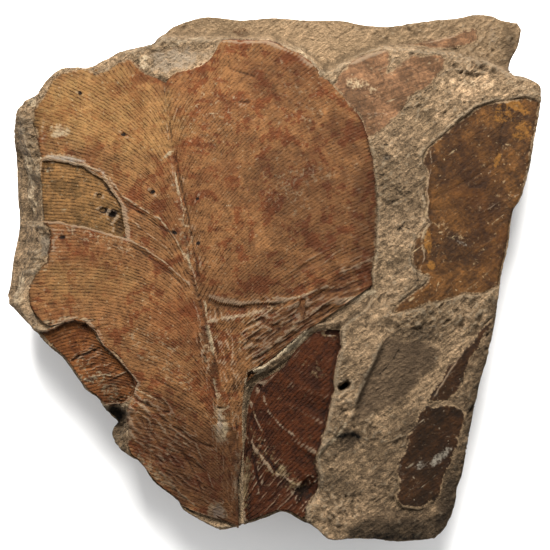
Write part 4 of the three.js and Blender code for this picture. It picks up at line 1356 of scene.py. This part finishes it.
corner_marks = {
    "grey": [
        ((437, 458), 5.4, 2.0, 40, 0.7), ((420, 464), 3.6, 1.6, 20, 0.6), ((432, 424), 3.4, 0.5, 5, 0.5),
        ((400, 470), 1.6, 5.0, 0, 0.4),
    ],
    "pale": [
        ((414, 478), 1.4, 2.6, 0, 0.4), ((447, 412), 0.5, 1.6, 0, 0.3), ((426, 470), 3.0, 1.0, 20, 0.3),
    ],
}
strip_film = lay_flat_film("strip_leaf", torn(strip_outline, 0.7), 0.3, dark_film, strip_marks)
corner_film = lay_flat_film("corner_leaf", torn(corner_outline, 1.6), 0.32, dark_film, corner_marks)
ledge_film = lay_flat_film("ledge_leaf", torn(ledge_outline, 0.5), 0.3, mauve_film)


# The matrix: the block of fine grained rock itself. Its split face stands a little above the
# films along their margins, its walls broke across the bedding, and it lies on a flat bedding
# plane. Along each bank the rock on the left rises by the height and sinks back over the reach.
banks = [
    (spots(
        (308, 57), (319, 74), (336, 87), (351, 104), (366, 127), (373, 157), (376, 180), (377, 215),
        (376, 250), (372, 273), (372, 290), (366, 306), (352, 318),
    ), 0.95, 4.0),
    (spots(
        (341, 331), (341, 347), (334, 377), (326, 426), (317, 456), (318, 474), (318, 486), (306, 506),
        (306, 522),
    ), 1.2, 5.0),
    (spots(
        (430, 150), (435, 142), (447, 131), (461, 119), (477, 108), (488, 102), (496, 100), (512, 99),
        (526, 96), (545, 101),
    ), 1.0, 4.0),
    (spots(
        (419, 272), (412, 262), (414, 245), (427, 223), (426, 191), (428, 170), (426, 150),
    ), 0.45, 3.0),
    (spots(
        (504, 282), (490, 290), (478, 294), (463, 294), (451, 298), (436, 301), (415, 308), (394, 313),
    ), 1.0, 4.0),
    (spots((392, 312), (405, 298), (421, 287), (430, 279)), 0.8, 3.5),
    (spots(
        (334, 84), (341, 69), (349, 63), (357, 53), (367, 50), (382, 47), (392, 52), (390, 69), (403, 61),
        (415, 51), (430, 52), (443, 52),
    ), 0.45, 2.5),
    (spots(
        (448, 60), (436, 77), (429, 85), (414, 93), (402, 107), (395, 118), (377, 132), (367, 134),
    ), 0.3, 3.0),
]
smooth_areas = [
    (spots(
        (386, 336), (402, 340), (420, 342), (438, 350), (436, 366), (424, 376), (408, 392), (398, 402),
        (376, 412), (350, 422), (357, 402), (358, 388), (362, 374), (372, 360),
    ), 1.0, 1.0),
    (spots(
        (130, 46), (150, 44), (162, 34), (182, 22), (204, 15), (272, 17), (340, 20), (380, 26), (370, 42),
        (326, 66), (301, 49), (269, 36), (200, 32),
    ), 0.6, 0.9),
    (spots(
        (150, 47), (174, 41), (201, 34), (217, 33), (214, 46), (205, 60), (180, 67), (150, 70), (135, 60),
    ), 0.6, 0.5),
]
# Places where the rock is darkened with painted shade: each outline, the softness of its edge and its
# strength. They lie along the front foot, the right side and the lower left undercut, and in hollows.
painted_shade_areas = [
    (spots(
        (345, 545), (344, 522), (362, 516), (400, 519), (440, 512), (452, 498), (462, 515), (440, 545),
    ), 1.4, 0.77),
    (spots(
        (492, 300), (477, 352), (460, 410), (448, 460), (440, 500), (436, 528), (470, 530), (520, 300),
    ), 2.0, 0.57),
    (spots((336, 432), (346, 428), (362, 434), (352, 448), (334, 458), (326, 452)), 1.0, 0.5),
    (spots((320, 470), (344, 474), (366, 490), (352, 500), (330, 492), (318, 486)), 1.6, 0.4),
    (spots((388, 334), (402, 340), (420, 344), (432, 334), (424, 322), (408, 328)), 1.0, 0.35),
    (spots(
        (400, 420), (424, 404), (452, 396), (470, 380), (474, 420), (456, 470), (440, 500), (400, 500),
    ), 3.0, 0.42),
    (spots((512, 14), (524, 22), (524, 40), (514, 58), (506, 56), (506, 30)), 1.0, 0.35),
    (spots(
        (60, 350), (86, 380), (108, 404), (126, 412), (128, 440), (150, 466), (190, 508), (180, 520),
        (90, 440), (40, 350),
    ), 1.2, 0.55),
]
knobby = [
    ((335, 510), 9.0, 7.0, 0, 1.0), ((420, 318), 12.0, 5.0, 15, 0.5), ((470, 320), 8.0, 7.0, 0, 0.5),
    ((470, 55), 11.0, 5.0, 0, 0.8), ((345, 400), 3.0, 9.0, 10, 0.6), ((20, 130), 6.0, 12.0, 0, 0.9),
    ((430, 470), 9.0, 6.0, 0, 0.5), ((34, 250), 5.0, 12.0, 0, 0.8), ((120, 440), 6.0, 5.0, 0, 0.8),
]
rock_bumps = [
    ((410, 318), 4.0, 2.0, -0.8), ((445, 315), 5.0, 2.4, -0.9), ((470, 312), 3.5, 2.6, -0.7),
    ((420, 335), 5.0, 2.4, -0.6), ((375, 320), 4.0, 5.0, -1.0), ((360, 350), 3.0, 6.0, -0.8),
    ((395, 100), 9.0, 3.0, -0.5), ((440, 100), 9.0, 2.5, -0.6), ((400, 250), 4.0, 9.0, -0.6),
    ((360, 480), 9.0, 6.0, -0.8), ((330, 500), 4.0, 6.0, -0.8), ((400, 440), 5.0, 3.0, -0.5),
    ((420, 380), 7.0, 5.0, 0.7), ((395, 395), 6.0, 5.0, 0.5), ((390, 505), 7.0, 4.0, 0.9),
    ((325, 62), 3.0, 5.0, 1.4), ((300, 30), 9.0, 2.4, 0.5), ((240, 24), 4.0, 3.0, 0.5),
]


def crags(x, y, size, seed, octaves, z=0.0):
    """Knobbly lumps with sharp valleys between them, mostly between -0.4 and 0.6."""
    return 2.2 * np.abs(rough(x, y, size, seed, octaves, z)) - 0.4


def areas(x, y, listed):
    """Parts of the face inside outlines: each outline has the softness of its edge and a strength."""
    total = np.zeros(x.shape)
    stray = 1.1 * rough(x, y, 3.4, 44, 4)
    for outline, soft, strength in listed:
        within = inside(x, y, outline, 2 * soft + 3) + stray
        total = np.maximum(total, strength * smooth(within, -soft, soft))
    return total


def film_cover(x, y):
    """How far in from the nearest film's edge a place is: positive under a film."""
    x = x + fray * rough(x, y, 1.3, 21, 3)
    y = y + fray * rough(x, y, 1.3, 22, 3)
    cover = np.full(x.shape, -9.0)
    for outline in pockets:
        cover = np.maximum(cover, inside(x, y, outline, 3.0))
    return cover


rock_below = 0.12          # the bare rock lies this far below the face that the films share
pocket_gap = 0.3           # a pocket is this much deeper than its film is thick
patch_pocket = 0.9         # the pocket is this much deeper at the sunken patch, under two films
grain_way = (0.77, 0.64)   # the direction in which the rock's own ridges run
lump_rise = 0.8
ridge_rise = 0.55
grit_rise = 0.42
flake_rise = 0.8
pock_depth = 0.7
tear_depth = 0.9


def rock_face(x, y):
    """Height of the rock's split face, with its own roughness and the pockets under the films."""
    shared = split_face(x, y)
    own = np.zeros(x.shape)
    for line, rise, reach in banks:
        off = beside(x, y, line, 3 * reach)[0]
        own += rise * smooth(off, 0, 0.35) * np.exp(-np.maximum(off, 0) / reach) * (off < 5 * reach)
    for place, half_x, half_y, depth in rock_bumps:
        (px, py), = spots(place)
        own -= depth * np.exp(-((x - px) / half_x) ** 2 - ((y - py) / half_y) ** 2)
    calm = 0.5 + 0.5 * smooth(rough(x, y, 14.0, 71, 2), -0.4, 0.3)
    calm = calm * (1 - 0.75 * areas(x, y, smooth_areas)) + 0.9 * blots(x, y, knobby)
    way_x, way_y = grain_way
    along, across = x * way_x + y * way_y, y * way_x - x * way_y
    ridges = crags(along * 0.5, across, 2.4, 73, 3)
    own += calm * (lump_rise * crags(x, y, 5.4, 72, 3) + ridge_rise * ridges)
    own += (0.25 + 0.75 * calm) * grit_rise * crags(x, y, 1.4, 77, 2)
    flake = rough(along * 0.6, across, 6.0, 74, 4)
    own += flake_rise * calm * (np.floor(flake * 4) / 4 + smooth(flake * 4 % 1, 0.7, 1.0) / 4 - flake)
    own -= pock_depth * calm * smooth(rough(x, y, 1.2, 75, 2), 0.34, 0.60)
    own -= tear_depth * calm * smooth(rough(along * 0.35, across, 2.2, 76, 3), 0.46, 0.60)
    cover = film_cover(x, y)
    patch = inside(x, y, patch_outline)
    deep = film_depth + pocket_gap + patch_pocket * smooth(patch, -1.2, 0)
    level = shared - rock_below + own * smooth(-cover, 0.1, 0.5)
    return level, level - deep * smooth(cover, 0.1, 0.5)


def deep_under_films(x, y):
    return film_cover(x, y) > 0.9


face_gap = 0.40            # between the points of the split face, and of the underside
under_gap = 2.4
face_flat, face_faces, rim_count = pave(rim_edge, face_gap, deep_under_films)
open_level, face_level = rock_face(face_flat[:, 0], face_flat[:, 1])

wall_rows = 30
bulge_drop = 4             # the wall is widest this far below the rim
bulge_level = 20           # and at this height where the rim stands well back
foot_size = 0.93           # the foot of the wall, as a part of its widest place
front_undercut = 0.1       # taken off that along the front
half_width = 75            # turns a wall's relief into a part of the way out
bed_height = 2.3           # the thickness of one bed in the walls
bed_first = 4              # added to a bed's number, so that the lowest one has a place in the list
bed_count = 40
bed_wear = 0.6
lump_wear = 1.1
ledge_wear = 0.9
crack_wear = 0.7
under_hollow = 0.5
wall_fade = 0.75           # how much of a mark is lost low on the walls
bed_reach = np.random.default_rng(87).uniform(-1, 1, bed_count)
wall_points = []
rim_level = face_level[:rim_count]
reach = rim_reach(block_edge[:, 0], block_edge[:, 1])
bulge_lift = bulge_level + bulge_drop - rim_level
widest = rim_level - bulge_drop + bulge_lift * smooth(1 - reach, 0.03, 0.1)
edge_x, edge_y = block_edge[:, 0], block_edge[:, 1]
foot = foot_size - front_undercut * smooth(-edge_y - 0.5 * edge_x, 15, 60)
for row in range(1, wall_rows + 1):
    down = 2 * row / wall_rows
    if down <= 1:
        level = rim_level + (widest - rim_level) * down
        out = reach + (1 - reach) * math.sin(down * math.pi / 2)
    else:
        level = widest * (2 - down)
        out = 1 + (foot - 1) * (down - 1) ** 1.5
    if row < wall_rows:
        beds = rough(edge_x * 0.12, edge_y * 0.12, 1.5, 81, 3, level)
        lumps = crags(edge_x, edge_y, 7.0, 82, 4, level * 1.6)
        cracks = smooth(rough(edge_x * 0.2, edge_y * 0.2, 1.1, 83, 2, level + 0.03 * edge_x), 0.32, 0.5)
        knobs = crags(edge_x, edge_y, 2.8, 85, 3, level * 1.3)
        bed = (level + 0.8 * rough(edge_x, edge_y, 22.0, 86)) / bed_height
        ledge = bed_reach[np.clip(np.floor(bed).astype(int) + bed_first, 0, bed_count - 1)]
        worn = 1.0 + bed_wear * beds + lump_wear * lumps + lump_wear * knobs + ledge_wear * ledge
        worn = worn * min(down * 1.5, 1.0) * (0.2 + 0.8 * smooth(abs(down - 1), 0, 0.35))
        cut = crack_wear * cracks * smooth(abs(down - 1), 0, 0.3)
        out = out - (np.maximum(worn, 0) + cut) / half_width
        level = level + 0.25 * lumps * (down < 1.9)
    wall_points.append(np.column_stack([edge_x * out, edge_y * out, np.maximum(level, 0.0)]))
wall_points = np.array(wall_points)
under_flat, under_faces, _ = pave(wall_points[-1, :, :2], under_gap)
under_edge = inside(under_flat[:, 0], under_flat[:, 1], wall_points[-1, ::6, :2])
under_swell = smooth(rough(under_flat[:, 0], under_flat[:, 1], 22.0, 84), -0.3, 0.5)
under_level = under_hollow * smooth(under_edge, 0.5, 6) * under_swell

rock_points = np.concatenate([
    np.column_stack([face_flat, face_level]),
    wall_points[:-1].reshape(-1, 3),
    np.column_stack([under_flat, under_level]),
])
rock_faces = list(face_faces)
rings = [np.arange(rim_count)]
for row in range(wall_rows - 1):
    rings.append(len(face_flat) + row * rim_count + np.arange(rim_count))
rings.append(len(face_flat) + (wall_rows - 1) * rim_count + np.arange(rim_count))
for upper, lower in zip(rings[:-1], rings[1:]):
    quads = np.stack([upper, np.roll(upper, -1), np.roll(lower, -1), lower], 1)
    rock_faces += [tuple(quad) for quad in quads.tolist()]
under_first = rings[-1][0]
rock_faces += [tuple(under_first + k for k in face) for face in under_faces]

rock_marks = {
    # Painted light on the back ledge and its scarp, the chip, the left wall and the rock at the upper
    # right.
    "painted_light": [
        ((470, 84), 12.0, 5.0, 0, 0.55), ((22, 285), 4.0, 7.0, 0, 0.1), ((142, 60), 4.0, 3.0, 0, 0.58),
        ((300, 26), 22.0, 5.0, 0, 0.15), ((318, 50), 6.0, 3.4, 0, 0.35), ((178, 60), 12.0, 5.0, 10, 0.47),
        ((430, 110), 9.0, 6.0, 40, 0.3), ((25, 190), 4.0, 9.0, 0, 0.2),
    ],
    # Painted shade on the rock right of the main leaf, near the front and beside the strip.
    "dim": [
        ((396, 205), 9.0, 16.0, 0, 0.14), ((390, 480), 12.0, 12.0, 0, 0.32),
        ((465, 362), 3.4, 9.0, -38, 0.4),
    ],
    "cream": [
        ((60, 68), 5.0, 0.8, 12, 0.5), ((143, 60), 3.4, 3.4, 0, 0.58), ((24, 180), 3.4, 12.0, 4, 0.62),
        ((17, 288), 2.8, 7.0, 0, 0.62), ((30, 100), 2.0, 3.4, -30, 0.7), ((40, 190), 0.5, 10.0, 4, 0.7),
        ((478, 82), 8.0, 2.0, 0, 0.5), ((300, 44), 9.0, 1.6, -12, 0.5), ((180, 39), 9.0, 0.9, 18, 0.6),
        ((300, 52), 6.0, 1.4, -25, 0.5), ((326, 70), 2.4, 3.0, -30, 0.5), ((520, 84), 7.0, 1.6, -20, 0.5),
        ((463, 114), 7.0, 0.7, 38, 0.5), ((290, 344), 9.0, 2.0, 35, 1.2), ((256, 369), 4.6, 1.8, 15, 1.2),
        ((322, 452), 2.6, 4.0, 30, 0.4), ((316, 495), 1.6, 4.0, 0, 0.4),
    ],
    "grey": [
        ((176, 56), 12.5, 5.0, 12, 0.75), ((20, 130), 3.4, 6.0, 0, 0.6), ((30, 92), 3.2, 3.0, 40, 0.7),
        ((44, 245), 2.0, 5.5, 0, 0.85), ((38, 165), 0.8, 4.0, 0, 0.4), ((33, 320), 3.4, 2.4, -30, 0.6),
        ((430, 52), 8.0, 1.6, 0, 0.4), ((475, 52), 8.0, 4.5, 0, 0.45), ((500, 28), 2.6, 7.0, 15, 0.5),
        ((388, 156), 2.6, 1.6, -10, 0.7), ((440, 400), 3.0, 5.0, 40, 0.45),
        ((468, 390), 6.0, 2.0, 60, 0.4), ((400, 470), 2.4, 5.0, 20, 0.45), ((425, 330), 4.0, 3.0, 0, 0.3),
        ((455, 310), 6.0, 2.0, 0, 0.3), ((226, 514), 2.4, 2.8, 0, 0.5), ((500, 102), 4.0, 1.2, 10, 0.4),
        ((382, 118), 4.4, 1.2, 10, 0.3),
    ],
    "olive": [
        ((400, 360), 9.0, 5.5, 10, 0.6), ((375, 378), 5.0, 4.0, 40, 0.5), ((410, 430), 8.0, 5.0, 0, 0.35),
        ((395, 515), 10.0, 3.5, 0, 0.55), ((445, 500), 3.0, 9.0, -12, 0.75),
        ((478, 400), 2.6, 10.0, -15, 0.6), ((350, 436), 3.6, 2.6, 0, 0.4),
        ((430, 333), 5.0, 3.0, 0, 0.35), ((518, 50), 1.8, 5.0, 15, 0.5),
    ],
    "brown": [
        ((240, 24), 4.4, 2.6, -15, 0.65), ((445, 36), 11.0, 1.2, 12, 0.6),
        ((478, 62), 4.0, 1.6, 10, 0.55), ((345, 34), 5.0, 2.4, 0, 0.25), ((470, 360), 2.2, 9.0, -38, 0.5),
        ((399, 466), 1.3, 3.6, 8, 0.5), ((98, 66), 3.0, 0.8, 0, 0.5), ((445, 525), 3.0, 3.5, 0, 0.5),
        ((416, 250), 0.8, 4.4, 0, 0.6), ((170, 45), 5.0, 0.8, 15, 0.5),
    ],
    # Dark blots: real dark spots on the left wall, and painted shade in the pits, cracks and hollows and
    # along the front foot.
    "dark": [
        ((22, 132), 1.8, 3.0, 20, 0.5), ((30, 95), 1.6, 1.4, 30, 0.5), ((42, 252), 1.2, 3.4, 0, 0.5),
        ((344, 386), 1.9, 0.9, 35, 1.0), ((387, 143), 0.9, 0.4, 0, 0.9), ((388, 157), 1.8, 0.8, -20, 0.6),
        ((456, 64), 1.2, 0.6, 0, 0.7), ((474, 59), 0.7, 0.6, 0, 0.7), ((487, 67), 2.2, 0.8, 0, 0.6),
        ((395, 534), 14.0, 1.6, 0, 0.7), ((330, 482), 2.6, 2.0, 0, 0.4), ((352, 492), 4.6, 2.4, 0, 0.35),
        ((416, 281), 1.6, 0.7, 10, 0.8), ((60, 338), 5.0, 1.8, 40, 0.6), ((116, 416), 3.0, 3.6, 0, 0.8),
        ((404, 200), 3.4, 0.4, 30, 0.6), ((401, 229), 0.6, 2.2, 25, 0.7), ((381, 173), 2.6, 0.4, 0, 0.6),
    ],
}
rock_x, rock_y = rock_points[:, 0], rock_points[:, 1]
open_points = rock_points.copy()
open_points[:len(face_flat), 2] = open_level
rock_shown = {"raised": raised_parts(open_points, rock_faces, rounds=5, full=0.3)}
for mark, listed in rock_marks.items():
    rock_shown[mark] = blots(rock_x, rock_y, listed)
rock_shown["olive"] = np.maximum(rock_shown["olive"], 0.75 * areas(rock_x, rock_y, smooth_areas[:1]))
# All the painted shade on the rock, from its areas and blots, less the painted light.
all_painted_shade = np.maximum(areas(rock_x, rock_y, painted_shade_areas), rock_shown["dim"])
rock_shown["dim"] = all_painted_shade - rock_shown.pop("painted_light")
wall_row = np.concatenate([
    np.zeros(len(face_flat)),
    np.repeat(np.arange(1, wall_rows), rim_count),
    np.full(len(under_flat), wall_rows),
])
for mark in ("grey", "dark", "cream", "brown", "olive", "dim"):
    rock_shown[mark] *= 1 - wall_fade * smooth(wall_row, 5, 14)
# Sunken creases get dark strokes of painted shade; raised ones get cream strokes, part pale rock and part
# painted highlight.
for line, width, rise in creases:
    off, _ = beside(rock_x, rock_y, line, 3 * width)
    mark = "cream" if rise > 0 else "dark"
    rock_shown[mark] = np.maximum(rock_shown[mark], bell(off, 0.62 * width) * min(1.7 * abs(rise), 0.85))
rock_shown["wall"] = np.minimum(wall_row, 1.0)
rock_shown["smooth_ledge"] = smooth(rock_y - np.interp(rock_x, ledge_edge[:, 0], ledge_edge[:, 1]), 0, 3)

rock, shader, place, mark = new_material("fine_rock")
cloud = place.grain(0.016, 5.0, 0.6, 0.5)
patches = place.grain(0.0045, 5.0, 0.62, 0.4)
grains = place.grain(0.0009, 5.0, 0.68)
crumbs = place.grain(0.0019, 5.0, 0.7, 0.2)
sand = place.grain(0.00034, 3.0, 0.6)
beds = place.stretched((16.0, 16.0, 1.0)).grain(0.0011, 4.0, 0.6)
slant = place.stretched((6.0, 1.0, 1.0), 38).grain(0.0008, 4.0, 0.66)
colour = cloud.between(0.36, 0.64).mixed(paint("65533e"), paint("856e54"))
colour = colour.times((grains + sand).between(0.76, 1.24, 0.58, 1.36), 1.0)
colour = colour.times(patches.between(0.32, 0.68, 0.82, 1.16), 0.9)
colour = colour.times(slant.between(0.38, 0.62, 0.66, 1.30), 1.0)
colour = colour.times(crumbs.between(0.36, 0.62, 0.74, 1.18), 0.9)
wall = mark("wall")
colour = colour.times(beds.between(0.34, 0.66, 0.70, 1.15), wall * 0.9)
colour = colour.tinted(paint("80694e"), mark("smooth_ledge") * 0.45)
colour = colour.tinted(paint("9b8a70"), ragged(mark("cream"), crumbs, grains))
colour = colour.tinted(paint("6f6252"), ragged(mark("grey"), crumbs, grains))
colour = colour.tinted(paint("3a2e22"), mark("olive"))
colour = colour.tinted(paint("4b321e"), ragged(mark("brown"), crumbs, grains))
# The dark tint: real dark spots, and painted shade in pits, cracks and hollows.
colour = colour.tinted(paint("100c07"), ragged(mark("dark"), crumbs, grains))
lichen = place.grain(0.0018, 4.0, 0.65, 0.4).between(0.40, 0.32)
colour = colour.tinted(paint("13110d"), lichen * mark("grey") * 0.8)
colour = colour.tinted(paint("877964"), place.grain(0.0013, 3.0, 0.6).between(0.66, 0.75) * 0.5)
# Raised parts are painted lighter, a painted highlight, and parts below their surroundings darker,
# painted shade.
raised = mark("raised")
colour = colour.tinted(paint("8d7e68"), raised.between(0.2, 1.0) * 0.35)
colour = colour.times(raised.between(-1.0, 0.05, 0.60, 1.0), 0.9)
# Painted shade darkens its places; painted light, taken off it, lightens others.
colour = colour.times(1.0 - mark("dim"), 1.0)
height = grains * 0.8 + crumbs * 1.2 + patches * 1.0 + slant * 0.8 + sand * 0.4 + beds * wall * 1.2
finish_material(shader, colour, grains.between(0.2, 0.8, 0.80, 0.95), height, 0.0023)

block = make_piece("rock_matrix", rock_points, rock_faces, rock, rock_shown)
face_outwards(block)
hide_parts("matrix")
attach(block, "root")
